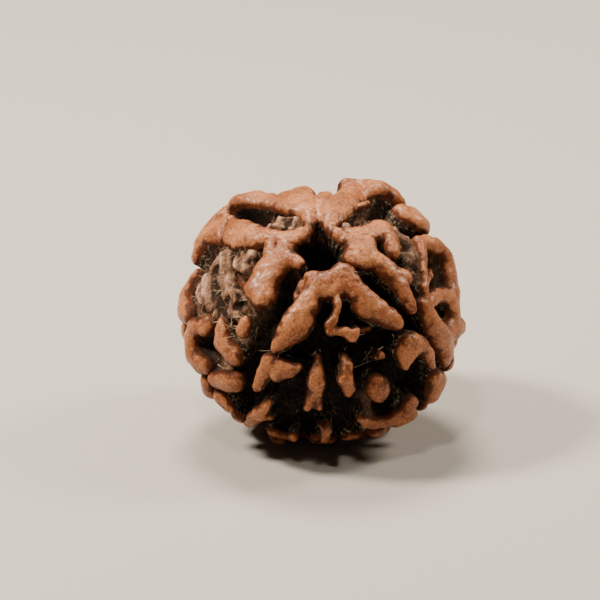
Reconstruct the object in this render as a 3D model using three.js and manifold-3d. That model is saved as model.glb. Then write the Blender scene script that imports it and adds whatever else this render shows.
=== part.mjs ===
import * as THREE from 'three';
import { ConvexHull } from 'three/addons/math/ConvexHull.js';
import Module from 'manifold-3d';

// A rudraksha seed: one hard, woody stone, a little flatter along its axis than it is wide. Five seams run
// from the star-shaped mouth of its natural canal to the far mouth. Between them the surface stands up in
// thick rounded ridges and knobs over deep recesses. The stone lies with its axis leaning forward, on three
// low knobs.
//
// Millimetres and degrees, +Z up. Places on the stone are given as an azimuth round its axis, with 0 at the
// lowest side and 90 towards +X, and a polar angle from the near mouth. Ridge widths are arcs on a sphere
// of READ_RADIUS.

// Overall form
const EQUATOR_RADIUS = 10.75;
const POLE_RADIUS = 9.3;
const READ_RADIUS = 10;
const AXIS_LEAN = 33;
const CENTRE = new THREE.Vector3(0.07, -0.09, 9.2);

// Slow swells of the surface: heights in mm, waves and starts in radians
const ACROSS_SWELL = 0.12;
const ACROSS_WAVES = 5.1;
const ACROSS_START = 1.3;
const SIDE_WAVES = 4.3;
const SIDE_START = 0.4;
const ALONG_SWELL = 0.1;
const ALONG_WAVES = 6.2;
const ALONG_START = 2.1;

// Section across a ridge: a round shoulder, as wide as the ridge allows, then a steep wall down to the
// recess floor
const LEAST_SHOULDER = 0.3;
const MOST_SHOULDER = 1.0;
const SHOULDER_FALL = 0.95;
const WALL_FOOT = 0.32;
const RECESS_DEPTH = 2.2;
const RIDGE_BLEND = 0.15;

// Canal. Each station is [height along the axis, share of the star's reach, round radius]
const CANAL_RADIUS = 0.7;
const FAR_MOUTH_RADIUS = 1.15;
const CANAL_SIDES = 40;
const CANAL_STATIONS = [
  [11, 1.25, 0], [8.2, 0.95, 0], [7.2, 0.62, 0.15], [5.8, 0.28, 0.45], [4, 0, CANAL_RADIUS],
  [-6.4, 0, CANAL_RADIUS], [-8, 0, 0.85], [-9.2, 0, FAR_MOUTH_RADIUS], [-11, 0, FAR_MOUTH_RADIUS + 0.4],
];

// Facets
const FACET_POINTS = 5150;
const LINE_REACH = 0.24;
const WALL_TOP = -0.04;
const PROBE = 0.01;
const CLOSEST_POINTS = 0.2;

// The near mouth's rim, as [azimuth, polar angle]: its five points reach into the seams
const MOUTH_RIM = [
  [0, 11.6], [15, 11.3], [36, 10.1], [58, 9], [78, 9.4], [94, 10.2], [103, 9.8], [118, 8.2], [137, 7.8],
  [155, 8.6], [169, 10.3], [177, 14.2], [187, 17], [194, 15.6], [202, 12.6], [210, 10.8], [222, 9.3],
  [233, 8.4], [246, 9.8], [258, 12], [270, 12.9], [281, 11.8], [291, 10.8], [305, 10.6], [321, 11.3],
  [337, 12.3], [350, 11.8],
];

// The ridges of the near side. Each run is a chain of [azimuth, polar angle, half-width, extra height], and
// the runs of one group melt into each other where they meet.
const RIDGES = {
  lowerLobe: [
    [[352, 19, 1.1], [0, 19, 1.35], [15, 19, 1.4], [28, 18.5, 1.2]],
    [[337, 17, 0.5, -0.15], [348, 15.9, 0.75], [0, 16, 0.9], [20, 15.6, 0.95], [33, 14.7, 0.85],
      [42, 16.8, 0.8, -0.05], [40, 22, 0.9]],
    [[329, 20, 0.4, -0.7], [331, 27, 0.4, -0.9]],
    [[350, 22, 1.0], [345, 30, 1.05], [341.5, 38, 1.2], [340, 42, 1.2], [337, 46, 0.95], [334, 51, 0.5],
      [333, 53, 0.35]],
    [[26, 19, 1.2], [34, 22, 1.05], [38.5, 29, 0.95], [39, 35, 1.2], [43.5, 41, 1.05], [47, 46, 0.85],
      [49.3, 50.5, 0.65]],
    [[15, 25, 0.5], [14, 30, 0.2], [12.5, 33, 0.17], [8.5, 36.5, 0.25], [5.3, 39, 0.3],
      [5.5, 41.8, 0.3], [12.5, 42.2, 0.22], [15.5, 42.8, 0.24], [18.5, 45.5, 0.4], [23.5, 44, 0.25]],
    [[27, 45.5, 0.22, -0.8], [33, 46.3, 0.22, -0.9]],
  ],
  upperLobes: [
    [[210, 15, 0.95], [225, 14, 0.85], [240, 14.5, 0.95], [245, 17, 1.0]],
    [[245, 17, 1.0], [262, 18.5, 1.15], [280, 18.5, 1.2], [285, 15.5, 0.85], [300, 14, 0.5],
      [312, 13.9, 0.42]],
    [[246.5, 20, 1.0], [247, 26, 0.9], [246, 32, 1.0], [244.5, 40, 1.2], [242, 48, 1.35],
      [239.5, 56, 1.35, 0.1], [237, 63, 1.3, 0.5], [238, 70, 1.2, 1.0]],
    [[225, 63, 0.85, 0.9], [231, 67, 1.0, 1.05], [237, 70.5, 1.05, 1.1], [243, 73.5, 1.0, 1.0],
      [248, 75.5, 0.75, 0.6]],
    [[256, 25, 0.95], [266, 25, 0.95]],
    [[249, 35, 0.95, -0.08], [249, 46, 0.95, -0.08]],
    [[276, 22, 1.3], [290, 29, 1.5], [299, 35, 1.5], [305, 36.5, 1.3]],
    [[203, 17, 0.9], [200, 21, 1.15], [197.5, 30, 1.5], [199, 40, 1.85], [197, 50, 1.7], [192, 56, 1.3]],
    [[208, 40, 1.1], [213, 50, 1.0, 0.35], [217, 57, 1.05, 0.9], [222, 61.5, 1.0, 1.25], [228, 65, 0.8, 1.2]],
    [[184, 21, 0.8, -0.1], [183, 29, 1.0, 0], [180, 36, 1.1, 0.05], [178, 44, 0.9, 0]],
    [[168, 17, 1.1], [168, 24, 1.3], [167.5, 30, 1.45], [165, 38, 1.5], [162, 48, 1.45], [162, 57, 1.2, 0.5]],
    [[167, 60, 0.8, 0.85], [158, 60, 0.9, 1.15], [153, 61, 0.8, 1.3]],
    [[156, 54, 0.8, 0.8], [152, 59, 0.9, 1.35], [146, 63.5, 0.8, 1.2], [142.5, 65, 0.6, 0.9]],
    [[152, 38, 0.5], [150, 46, 0.5, -0.1]],
    [[160, 14.5, 0.9], [148, 12.6, 0.8], [133, 12.4, 0.75], [118, 14, 1.0]],
    [[78, 19, 1.2], [88, 18.5, 1.4], [100, 17.5, 1.55], [118, 16.5, 1.3], [119, 24, 1.05],
      [120, 30, 1.15], [121.5, 35, 1.25]],
    [[98, 12.6, 0.7, -0.25], [82, 13.6, 0.75, -0.35], [69, 15.5, 0.65, -0.45]],
    [[92, 22, 1.0], [106, 22, 1.0]],
    [[121, 35, 1.2], [112, 36.5, 0.85], [103, 36, 0.8], [96, 35, 0.6]],
    [[85, 20, 1.1], [82, 28, 1.0], [76.5, 34, 1.02], [71, 41, 0.8], [67.5, 45.5, 0.64],
      [64.8, 48.5, 0.58], [63, 52, 0.42]],
    [[77, 38, 0.9], [79, 42, 0.8]],
  ],
  upperRightBall: [
    [[131, 57, 1.25, 0.65], [128.5, 60, 1.4, 0.85], [127, 63, 1.15, 0.8]],
  ],
  farRight: [
    [[110.5, 53, 0.45, 0.2], [104.5, 52.3, 0.42, 0.15], [99, 52, 0.32, 0.1], [94, 51.8, 0.28],
      [90, 52.2, 0.27], [85, 53.5, 0.3], [80, 53.6, 0.35], [76, 56, 0.45]],
    [[110.5, 53, 0.45, 0.2], [111.5, 60, 0.75, 0.5], [112, 66, 0.8, 0.65], [108, 71, 0.85, 0.7],
      [100, 74, 0.9, 0.55], [93, 76, 0.9, 0.45], [87, 76, 0.95, 0.4], [83, 79, 0.9, 0.4]],
    [[95.5, 58.4, 0.16, -0.1], [91, 57.4, 0.18, -0.05], [85.5, 55, 0.22]],
    [[71, 56, 0.5], [69, 61, 0.75, 0.1], [67.3, 67, 0.95, 0.15], [67.6, 73, 1.15, 0.15],
      [68.5, 79, 1.2, 0.15], [67.5, 85, 1.0, 0.1], [66, 89, 0.6]],
    [[72.5, 58, 0.5], [78, 60.5, 0.5], [82.5, 63, 0.5], [86, 68, 0.6, 0.2], [88, 75, 0.8, 0.4]],
    [[73, 79, 1.0, 0.1], [78, 82, 1.1, 0.3], [82, 86, 0.8, 0.5]],
  ],
  firstBar: [
    [[357.2, 54, 0.25, -0.9], [357.2, 57.5, 0.3, -0.45], [356.9, 61, 0.45, -0.05],
      [356.8, 65, 0.66, 0.1], [356.6, 69.5, 0.55, -0.3]],
    [[355.3, 71, 0.42, -0.4], [353.3, 77.3, 0.32, -0.1]],
    [[357.6, 71, 0.38, -0.4], [358.6, 77.3, 0.28, -0.2]],
    [[356.4, 71, 0.42, -0.5], [356, 76.5, 0.35, -0.6]],
  ],
  secondBar: [
    [[12.5, 55.5, 0.35, -0.8], [13, 59, 0.42, -0.3], [11, 64, 0.56, 0.1], [12.3, 69, 0.46, -0.2],
      [12, 72.5, 0.36, -0.5]],
  ],
  triangle: [
    [[331, 60, 0.5], [331, 66, 0.5], [330, 73, 0.42]],
    [[333, 61, 0.7], [338, 62, 0.8], [343, 61, 0.55], [348, 58.5, 0.3]],
    [[338, 62, 0.7], [337, 65, 0.6]],
  ],
  smallKnob: [
    [[28.4, 59.6, 0.15, -0.5], [31.5, 58.6, 0.36]],
  ],
  lowerBall: [
    [[26.2, 70, 0.6, -0.15], [26.2, 72.8, 0.96], [26.6, 76, 0.9]],
  ],
  rightHook: [
    [[41.6, 69, 0.35], [43.8, 66, 0.6], [45, 63.3, 0.72], [48.5, 61, 0.66], [52, 63, 0.66],
      [54.8, 67, 0.58], [55.3, 73, 0.42], [54.3, 79, 0.32]],
    [[46.5, 66, 0.65], [51.5, 66.5, 0.6]],
  ],
  cupRidge: [
    [[15.8, 85.5, 0.28], [18.6, 89, 0.38], [22.5, 92.5, 0.48], [28, 95, 0.58], [33, 95.5, 0.62, 0.1],
      [37.5, 93.5, 0.65, 0.2], [39.8, 89.5, 0.5, 0.1], [39, 86.5, 0.35]],
    [[34, 98.5, 0.7, 0.3], [38.5, 97, 0.8, 0.4]],
  ],
  sideBall: [
    [[54, 87.5, 0.9, 0.2], [55, 92.5, 1.1, 0.4], [53.5, 97.5, 0.9, 0.4]],
  ],
  lowBar: [
    [[2.8, 87, 0.2, -0.3], [2, 89.5, 0.3], [1.6, 93, 0.27], [1.2, 101, 0.27, -0.2], [1, 107, 0.3, -0.4]],
    [[359.3, 88.5, 0.12, -0.5], [357.5, 87, 0.12, -0.6]],
    [[356.5, 104, 0.45, -0.6], [357, 109, 0.5, -0.6]],
  ],
  dimBall: [
    [[347.5, 98, 0.42, -0.1], [347.5, 101, 0.45, -0.1]],
  ],
  leftBall: [
    [[309.5, 50.5, 0.55], [311, 54, 0.68]],
  ],
  barkRidge: [
    [[273, 46.5, 0.3, -1.0], [280, 44.8, 0.45, -0.85], [288, 42.8, 0.45, -0.85], [295, 43.5, 0.35, -1.0]],
  ],
  teardrop: [
    [[296, 60.3, 0.3, -0.1], [299.6, 63.3, 0.62], [304, 67.2, 0.9], [311, 67.8, 0.93], [314, 67.3, 0.8]],
  ],
  leftHook: [
    [[289.5, 69, 0.75, -0.1], [290, 72.5, 0.62]],
    [[288, 73, 0.6, 0.05], [284, 78, 0.68, 0.15], [286, 84, 0.72, 0.25], [291, 88.5, 0.8, 0.35],
      [297, 87.5, 0.85, 0.25], [301, 84.5, 0.75, 0.1]],
  ],
  leftBar: [
    [[307.5, 86.5, 0.72, 0.05], [313.5, 82.5, 0.78, 0.05], [318, 78.5, 0.78, 0.05], [319.5, 76, 0.6]],
  ],
  underLump: [
    [[302.5, 94, 0.75, 0.2], [304, 98.5, 0.85, 0.3]],
  ],
  underBall: [
    [[312.5, 94, 0.8, 0.25], [316, 95, 0.85, 0.2]],
  ],
  boot: [
    [[336, 79, 0.26, -0.25], [335, 82.5, 0.33], [332.7, 87, 0.5], [330.5, 92.5, 0.5], [326.8, 100.5, 0.33]],
    [[336, 91, 0.45, -0.6], [333, 90, 0.4, -0.2]],
  ],
  edgeRidge: [
    [[257, 76, 0.55], [260, 80, 0.75, 0.1], [264, 84, 0.95, 0.35], [270, 85, 1.0, 0.35], [275, 82, 0.9, 0.1]],
  ],
  underKnobs: [
    [[12, 107, 0.7, -0.5], [17, 110, 0.85, -0.4]],
    [[25, 107, 0.85, -0.1], [30, 111, 0.9]],
    [[337, 107, 0.7, -0.3], [344, 110, 0.8, -0.4]],
    [[357, 115, 0.8, -0.4], [3, 116, 0.8, -0.4]],
  ],
};

// Seams and cracks, cut into the ridges with sides this much steeper: chains of [azimuth, polar angle,
// half-width]
const SEAM_STEEPNESS = 2.2;
const SEAMS = [
  [[53, 9, 0.05], [60, 12, 0.06], [60, 18, 0.08], [57.5, 25, 0.3], [57, 32, 0.35], [56.5, 42, 0.25],
    [57, 50, 0.2]],
  [[316, 11, 0.03], [316, 18, 0.08], [318, 22, 0.22], [322, 30, 0.4], [324, 36, 0.48], [325, 42, 0.45],
    [324, 48, 0.35]],
  [[215, 18, 0.3], [218, 24, 0.85], [223.5, 34, 0.85], [225.5, 42, 0.7], [226, 50, 0.45], [227, 62, 0.4]],
  [[149, 15.8, 0.2], [143, 21, 0.55], [141, 29, 0.9], [141.5, 40, 0.85], [142.5, 48, 0.6], [141, 57, 0.4]],
  [[247.5, 57.5, 0.25], [243.5, 58, 0.08], [238.5, 59, 0.0], [233, 60, -0.1]],
  [[266, 31.3, 0.15], [272, 33.5, 0.28], [279, 36.5, 0.3], [284, 39.5, 0.2]],
  [[106, 29, 0.13], [98, 28.7, 0.15], [91, 30, 0.15], [88, 32.5, 0.12]],
  [[60, 106, 0.25], [63, 135, 0.25], [62, 168, 0.1]],
  [[136, 76, 0.25], [134, 110, 0.25], [137, 168, 0.1]],
  [[178, 52, 0.5], [178, 62, 1.0], [181, 74, 0.5], [187, 110, 0.25], [190, 168, 0.1]],
  [[222, 74, 0.25], [236, 110, 0.25], [245, 168, 0.1]],
  [[324, 105, 0.25], [318, 135, 0.25], [316, 168, 0.1]],
];

// Places where the recess floor is shallower or deeper than elsewhere, [azimuth, polar angle, reach,
// change], and the least depth that the shallow ones add up to
const FLOOR_CHANGES = [
  [256, 37, 1.2, -1.0], [261, 40, 1.9, -1.2], [262, 54, 2.2, -1.5], [280, 48, 2.2, -1.6],
  [290, 56, 2.0, -1.4], [272, 67, 2.5, -1.6], [249, 58, 1.4, -1.3], [297, 47, 1.6, -1.2],
  [219, 24, 1.6, -1.7], [230, 34, 1.5, -1.1], [143, 21, 1.4, -1.6], [141, 42, 1.6, -0.7],
  [111, 46, 1.2, -1.3], [97, 46, 1.3, -1.4], [85, 47.5, 1.1, -1.2], [122, 45, 1.1, -1.3],
  [98, 61, 1.8, -0.8], [309, 77.5, 1.0, -1.2], [20.5, 86.3, 0.7, -1.1], [75.5, 69.5, 0.9, -1.2],
  [35, 81, 0.8, -0.9], [310, 62, 1.0, -0.5], [254.5, 49, 0.45, 2.4], [256, 66, 0.8, 2.4],
  [267, 32, 0.45, 1.6], [280, 37, 0.5, 2.4], [106, 42.5, 0.6, 1.0], [56, 42, 1.6, 0.7], [324, 38, 1.4, 0.6],
  [10, 50, 2.0, 0.4],
];
const LEAST_FLOOR = 0.45;

// The far sides carry knobs on a lattice of directions, joined to some of their neighbours, and smaller
// knobs in the bare places between them
const SITE_COUNT = 250;
const SITE_SHIFT = 0.07;
const SITE_HALF = 0.68;
const SITE_SPREAD = 0.5;
const SITE_GAP = 0.3;
const SITE_CROWDING = 0.75;
const SITE_ON_SEAM = 0.55;
const SITE_LIFT_SPREAD = 0.5;
const SITE_LIFT_MIDDLE = 0.6;
const FILL_COUNT = 900;
const FILL_LEAST = 0.42;
const FILL_MOST = 0.85;
const FRONT_LIMIT = 76;
const FILL_LIMIT = 84;
const VIEW_POLAR = 35;
const LINK_REACH = 2.9;
const LINK_SHARE = 0.55;
const NECK_HALF = 0.6;
const NECK_LIFT = -0.2;

// The three knobs it rests on stand round the lowest point, each as [turn round it, extra height], and the
// others there are lower
const FOOT_ANGLE = 19;
const FOOT_HALF = 1.25;
const FEET = [[90, 0.5], [210, 0], [330, 0.25]];
const FOOT_ZONE = 31;
const FOOT_LINK_REACH = 3.4;
const FOOT_ZONE_LIFT = -0.7;
const GROUND_WIDTH = 30;
const GROUND_DEPTH = 10;

const toRadians = THREE.MathUtils.degToRad;
const GOLDEN = (1 + Math.sqrt(5)) / 2;

function direction(azimuth, polar) {
  const a = toRadians(azimuth);
  const p = toRadians(polar);
  return new THREE.Vector3(Math.sin(p) * Math.cos(a), Math.sin(p) * Math.sin(a), Math.cos(p));
}

const VIEW = direction(0, VIEW_POLAR);
const DOWN = direction(0, 180 - AXIS_LEAN);

// Even draws between 0 and 1 that repeat on every run
const DRAW_STEP = 0.7548776662466927;
const SALT_STEP = 0.5698402909980532;

function draw(index, salt) {
  const value = (index + 1) * DRAW_STEP + salt * SALT_STEP;
  return value - Math.floor(value);
}

function latticeDirection(index, count) {
  const z = 1 - (2 * index + 1) / count;
  const ring = Math.sqrt(1 - z * z);
  const turn = 2 * Math.PI * (index / GOLDEN - Math.floor(index / GOLDEN));
  return new THREE.Vector3(ring * Math.cos(turn), ring * Math.sin(turn), z);
}

// One straight piece of a run, from a to b, with its half-width and extra height at each end
function segment(from, to) {
  return {
    start: from.at,
    step: new THREE.Vector3().subVectors(to.at, from.at),
    half: [from.half, to.half],
    lift: [from.lift, to.lift],
  };
}

function runSegments(run) {
  const posts = run.map(([azimuth, polar, half, lift = 0]) => (
    { at: direction(azimuth, polar), half, lift }
  ));
  return posts.slice(1).map((post, index) => segment(posts[index], post));
}

const offset = new THREE.Vector3();

// Distance in mm outside a piece's edge, negative inside it, with its extra height and half-width there
function pieceEdge(at, piece) {
  offset.subVectors(at, piece.start);
  const length = piece.step.lengthSq();
  const along = length > 0 ? THREE.MathUtils.clamp(offset.dot(piece.step) / length, 0, 1) : 0;
  offset.addScaledVector(piece.step, -along);
  const half = piece.half[0] + (piece.half[1] - piece.half[0]) * along;
  const lift = piece.lift[0] + (piece.lift[1] - piece.lift[0]) * along;
  return [offset.length() * READ_RADIUS - half, lift, half];
}

// Distance outside a group of pieces that melt together, by a soft minimum over them
function groupEdge(at, pieces) {
  const edges = pieces.map((piece) => pieceEdge(at, piece));
  const nearest = Math.min(...edges.map(([edge]) => edge));
  let share = 0;
  let lift = 0;
  let width = 0;
  for (const [edge, extra, half] of edges) {
    const weight = Math.exp((nearest - edge) / RIDGE_BLEND);
    share += weight;
    lift += weight * extra;
    width += weight * half;
  }
  return [nearest - RIDGE_BLEND * Math.log(share), lift / share, width / share];
}

function nearestGroup(at, groups) {
  let best = [Infinity, 0, 0];
  for (const pieces of groups) {
    const found = groupEdge(at, pieces);
    if (found[0] < best[0]) {
      best = found;
    }
  }
  return best;
}

const frontGroups = Object.values(RIDGES).map((runs) => runs.flatMap(runSegments));
const seamPieces = SEAMS.flatMap(runSegments);

function seamEdge(at) {
  return Math.min(...seamPieces.map((piece) => pieceEdge(at, piece)[0]));
}

function feet() {
  const side = new THREE.Vector3(0, 1, 0);
  const ahead = new THREE.Vector3().crossVectors(side, DOWN);
  const tilt = toRadians(FOOT_ANGLE);
  return FEET.map(([turn, lift]) => {
    const around = toRadians(turn);
    const sideways = side.clone().multiplyScalar(Math.cos(around)).addScaledVector(ahead, Math.sin(around));
    const at = DOWN.clone().multiplyScalar(Math.cos(tilt)).addScaledVector(sideways, Math.sin(tilt));
    return { at, half: FOOT_HALF, lift };
  });
}

function isInFront(at, limit) {
  return at.dot(VIEW) > Math.cos(toRadians(limit));
}

// Knobs of the far sides, clear of the near ridges, the seams and the feet
function latticeKnobs(footKnobs) {
  const knobs = [];
  for (let index = 0; index < SITE_COUNT; index += 1) {
    const at = latticeDirection(index, SITE_COUNT);
    at.x += SITE_SHIFT * (draw(index, 1) - 0.5) * 2;
    at.y += SITE_SHIFT * (draw(index, 2) - 0.5) * 2;
    at.z += SITE_SHIFT * (draw(index, 3) - 0.5) * 2;
    at.normalize();
    const half = SITE_HALF + SITE_SPREAD * draw(index, 4);
    const crowded = nearestGroup(at, frontGroups)[0] < half * SITE_CROWDING + SITE_GAP;
    const onSeam = seamEdge(at) < half * SITE_ON_SEAM;
    const footReach = FOOT_HALF + half + SITE_GAP;
    const byFoot = footKnobs.some((foot) => foot.at.distanceTo(at) * READ_RADIUS < footReach);
    const freeLift = SITE_LIFT_SPREAD * (draw(index, 5) - SITE_LIFT_MIDDLE);
    const inFootZone = at.dot(DOWN) > Math.cos(toRadians(FOOT_ZONE));
    if (!isInFront(at, FRONT_LIMIT) && !crowded && !onSeam && !byFoot) {
      knobs.push({ at, half, lift: inFootZone ? FOOT_ZONE_LIFT : freeLift });
    }
  }
  return knobs;
}

// Smaller knobs in the bare places between them, each as large as its room allows
function fillingKnobs(knobs, footKnobs) {
  const filled = [...knobs];
  for (let index = 0; index < FILL_COUNT; index += 1) {
    const at = latticeDirection(index, FILL_COUNT);
    const toKnobs = [...filled, ...footKnobs].map((knob) => knob.at.distanceTo(at) * READ_RADIUS - knob.half);
    const room = Math.min(nearestGroup(at, frontGroups)[0], seamEdge(at), ...toKnobs) - SITE_GAP;
    const outOfZone = at.dot(DOWN) < Math.cos(toRadians(FOOT_ZONE));
    if (room > FILL_LEAST && outOfZone && !isInFront(at, FILL_LIMIT)) {
      const lift = SITE_LIFT_SPREAD * (draw(index, 7) - SITE_LIFT_MIDDLE);
      filled.push({ at, half: Math.min(room, FILL_MOST), lift });
    }
  }
  return filled;
}

function farLinks(knobs, footKnobs) {
  const links = [];
  for (const foot of footKnobs) {
    for (const knob of knobs) {
      if (foot.at.distanceTo(knob.at) * READ_RADIUS < FOOT_LINK_REACH) {
        const middle = foot.at.clone().add(knob.at).normalize();
        const neck = { at: middle, half: NECK_HALF, lift: FOOT_ZONE_LIFT };
        const root = { at: foot.at, half: NECK_HALF, lift: FOOT_ZONE_LIFT };
        links.push(segment(neck, root), segment(neck, knob));
      }
    }
  }
  for (let first = 0; first < knobs.length; first += 1) {
    for (let second = first + 1; second < knobs.length; second += 1) {
      const reach = knobs[first].at.distanceTo(knobs[second].at) * READ_RADIUS;
      const middle = knobs[first].at.clone().add(knobs[second].at).normalize();
      const joined = draw(first * 7 + second, 6) < LINK_SHARE && seamEdge(middle) > NECK_HALF;
      if (reach < LINK_REACH && joined) {
        const neck = { at: middle, half: NECK_HALF, lift: NECK_LIFT };
        links.push(segment(knobs[first], neck), segment(neck, knobs[second]));
      }
    }
  }
  return links;
}

const footKnobs = feet();
const knobs = fillingKnobs(latticeKnobs(footKnobs), footKnobs);
const farPieces = [
  ...knobs.map((knob) => segment(knob, knob)),
  ...footKnobs.map((foot) => segment(foot, foot)),
  ...farLinks(knobs, footKnobs),
];
const allGroups = [...frontGroups, farPieces];

// Distance outside the ridges with the seams cut in, and the ridge's extra height and half-width
function ridgeEdge(at) {
  const [edge, lift, half] = nearestGroup(at, allGroups);
  return [Math.max(edge, -SEAM_STEEPNESS * seamEdge(at)), lift, half];
}

function floorDepth(at) {
  let depth = RECESS_DEPTH;
  for (const [azimuth, polar, reach, change] of FLOOR_CHANGES) {
    const away = at.distanceTo(direction(azimuth, polar)) * READ_RADIUS / reach;
    depth += change * Math.exp(-away * away);
  }
  return Math.max(depth, LEAST_FLOOR);
}

// Slow swells of the whole stone, so that no part of it is a true spheroid
function swell(at) {
  const across = Math.sin(ACROSS_WAVES * at.x + ACROSS_START) * Math.sin(SIDE_WAVES * at.y + SIDE_START);
  return ACROSS_SWELL * across + ALONG_SWELL * Math.sin(ALONG_WAVES * at.z + ALONG_START);
}

function surfaceRadius(at) {
  const [edge, lift, half] = ridgeEdge(at);
  const shoulder = THREE.MathUtils.clamp(half, LEAST_SHOULDER, MOST_SHOULDER);
  const across = at.x * at.x + at.y * at.y;
  const top = 1 / Math.sqrt(across / EQUATOR_RADIUS ** 2 + at.z * at.z / POLE_RADIUS ** 2) + swell(at);
  const depth = floorDepth(at);
  if (edge > 0) {
    const foot = Math.min(edge / WALL_FOOT, 1);
    return top - THREE.MathUtils.lerp(shoulder * SHOULDER_FALL - lift, depth, foot);
  }
  const round = Math.max(1 + edge / shoulder, 0);
  return top + lift - shoulder * SHOULDER_FALL * (1 - Math.sqrt(1 - round * round));
}

// Moves a direction onto the line where the distance outside the ridges has the given value
function toLine(at, value) {
  const moved = at.clone();
  for (let pass = 0; pass < 2; pass += 1) {
    const east = new THREE.Vector3(-moved.y, moved.x, 0).normalize();
    const north = new THREE.Vector3().crossVectors(moved, east);
    const here = ridgeEdge(moved)[0];
    const eastward = (ridgeEdge(moved.clone().addScaledVector(east, PROBE).normalize())[0] - here) / PROBE;
    const northward = (ridgeEdge(moved.clone().addScaledVector(north, PROBE).normalize())[0] - here) / PROBE;
    const steepness = eastward * eastward + northward * northward;
    if (steepness > READ_RADIUS) {
      moved.addScaledVector(east, (value - here) * eastward / steepness);
      moved.addScaledVector(north, (value - here) * northward / steepness);
      moved.normalize();
    }
  }
  return moved;
}

// Even directions, with those near a wall's top or foot moved onto it, and none too close together
function facetDirections() {
  const kept = [];
  for (let index = 0; index < FACET_POINTS; index += 1) {
    let at = latticeDirection(index, FACET_POINTS);
    const edge = ridgeEdge(at)[0];
    const line = edge < WALL_FOOT / 2 ? WALL_TOP : WALL_FOOT;
    if (Math.abs(edge - line) < LINE_REACH) {
      at = toLine(at, line);
    }
    if (!kept.some((other) => other.distanceTo(at) * READ_RADIUS < CLOSEST_POINTS)) {
      kept.push(at);
    }
  }
  return kept;
}

// The outside of the stone: even directions joined by their hull, each then set at its own radius
function outsideGeometry() {
  const directions = facetDirections();
  const order = new Map(directions.map((at, index) => [at, index]));
  const hull = new ConvexHull().setFromPoints(directions);
  const triangles = [];
  for (const face of hull.faces) {
    const corners = [face.edge.tail().point, face.edge.head().point, face.edge.next.head().point];
    triangles.push(...corners.map((corner) => order.get(corner)));
  }
  const positions = directions.flatMap((at) => at.clone().multiplyScalar(surfaceRadius(at)).toArray());
  return { positions, triangles };
}

function rimPolar(azimuth) {
  const turns = MOUTH_RIM.map(([at]) => at);
  const after = turns.findIndex((at) => at > azimuth);
  const next = after < 0 ? 0 : after;
  const last = (next + MOUTH_RIM.length - 1) % MOUTH_RIM.length;
  const gap = (turns[next] - turns[last] + 360) % 360;
  const share = ((azimuth - turns[last] + 360) % 360) / gap;
  const ease = share * share * (3 - 2 * share);
  return THREE.MathUtils.lerp(MOUTH_RIM[last][1], MOUTH_RIM[next][1], ease);
}

// The canal: a star at the near mouth that narrows to a round bore and opens again at the far mouth
function canalGeometry() {
  const sides = CANAL_SIDES;
  const positions = [];
  const triangles = [];
  for (const [height, star, round] of CANAL_STATIONS) {
    for (let side = 0; side < sides; side += 1) {
      const azimuth = 360 * side / sides;
      const reach = POLE_RADIUS * Math.sin(toRadians(rimPolar(azimuth)));
      const radius = star * reach + round;
      const turn = toRadians(azimuth);
      positions.push(radius * Math.cos(turn), radius * Math.sin(turn), height);
    }
  }
  const rings = CANAL_STATIONS.length;
  for (let ring = 0; ring < rings - 1; ring += 1) {
    for (let side = 0; side < sides; side += 1) {
      const here = ring * sides + side;
      const beside = ring * sides + (side + 1) % sides;
      triangles.push(here, here + sides, beside, beside, here + sides, beside + sides);
    }
  }
  positions.push(0, 0, CANAL_STATIONS[0][0], 0, 0, CANAL_STATIONS[rings - 1][0]);
  const near = rings * sides;
  const far = near + 1;
  const lastRing = (rings - 1) * sides;
  for (let side = 0; side < sides; side += 1) {
    const beside = (side + 1) % sides;
    triangles.push(near, side, beside, far, lastRing + beside, lastRing + side);
  }
  return { positions, triangles };
}

// From the stone's own axes to the upright frame: the axis leans towards -Y, and azimuth 90 is +X
function standing({ positions, triangles }) {
  const lean = toRadians(AXIS_LEAN);
  const turned = [];
  for (let index = 0; index < positions.length; index += 3) {
    const [x, y, z] = positions.slice(index, index + 3);
    turned.push(
      CENTRE.x + y,
      CENTRE.y - x * Math.cos(lean) - z * Math.sin(lean),
      CENTRE.z - x * Math.sin(lean) + z * Math.cos(lean),
    );
  }
  return { positions: turned, triangles };
}

// A plain block below the resting plane, which trims the three low knobs flat
function groundBlock() {
  const block = new THREE.BoxGeometry(GROUND_WIDTH, GROUND_WIDTH, GROUND_DEPTH);
  block.translate(0, 0, -GROUND_DEPTH / 2);
  return block;
}

const wasm = await Module();
wasm.setup();

function solid({ positions, triangles }) {
  const mesh = new wasm.Mesh({
    numProp: 3,
    vertProperties: new Float32Array(positions),
    triVerts: new Uint32Array(triangles),
  });
  mesh.merge();
  return new wasm.Manifold(mesh);
}

function stoneGeometry() {
  const block = groundBlock();
  const ground = { positions: [...block.attributes.position.array], triangles: [...block.index.array] };
  const stone = solid(standing(outsideGeometry()))
    .subtract(solid(standing(canalGeometry())))
    .subtract(solid(ground));
  const mesh = stone.getMesh();
  const geometry = new THREE.BufferGeometry();
  geometry.setAttribute('position', new THREE.BufferAttribute(mesh.vertProperties, 3));
  geometry.setIndex(new THREE.BufferAttribute(mesh.triVerts, 1));
  geometry.computeVertexNormals();
  return geometry;
}

const stoneMaterial = new THREE.MeshStandardMaterial({ color: 0xb0703f, roughness: 0.5, metalness: 0 });
const stone = new THREE.Mesh(stoneGeometry(), stoneMaterial);
stone.name = 'stone';

const seed = new THREE.Group();
seed.add(stone);

export default seed;
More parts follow.
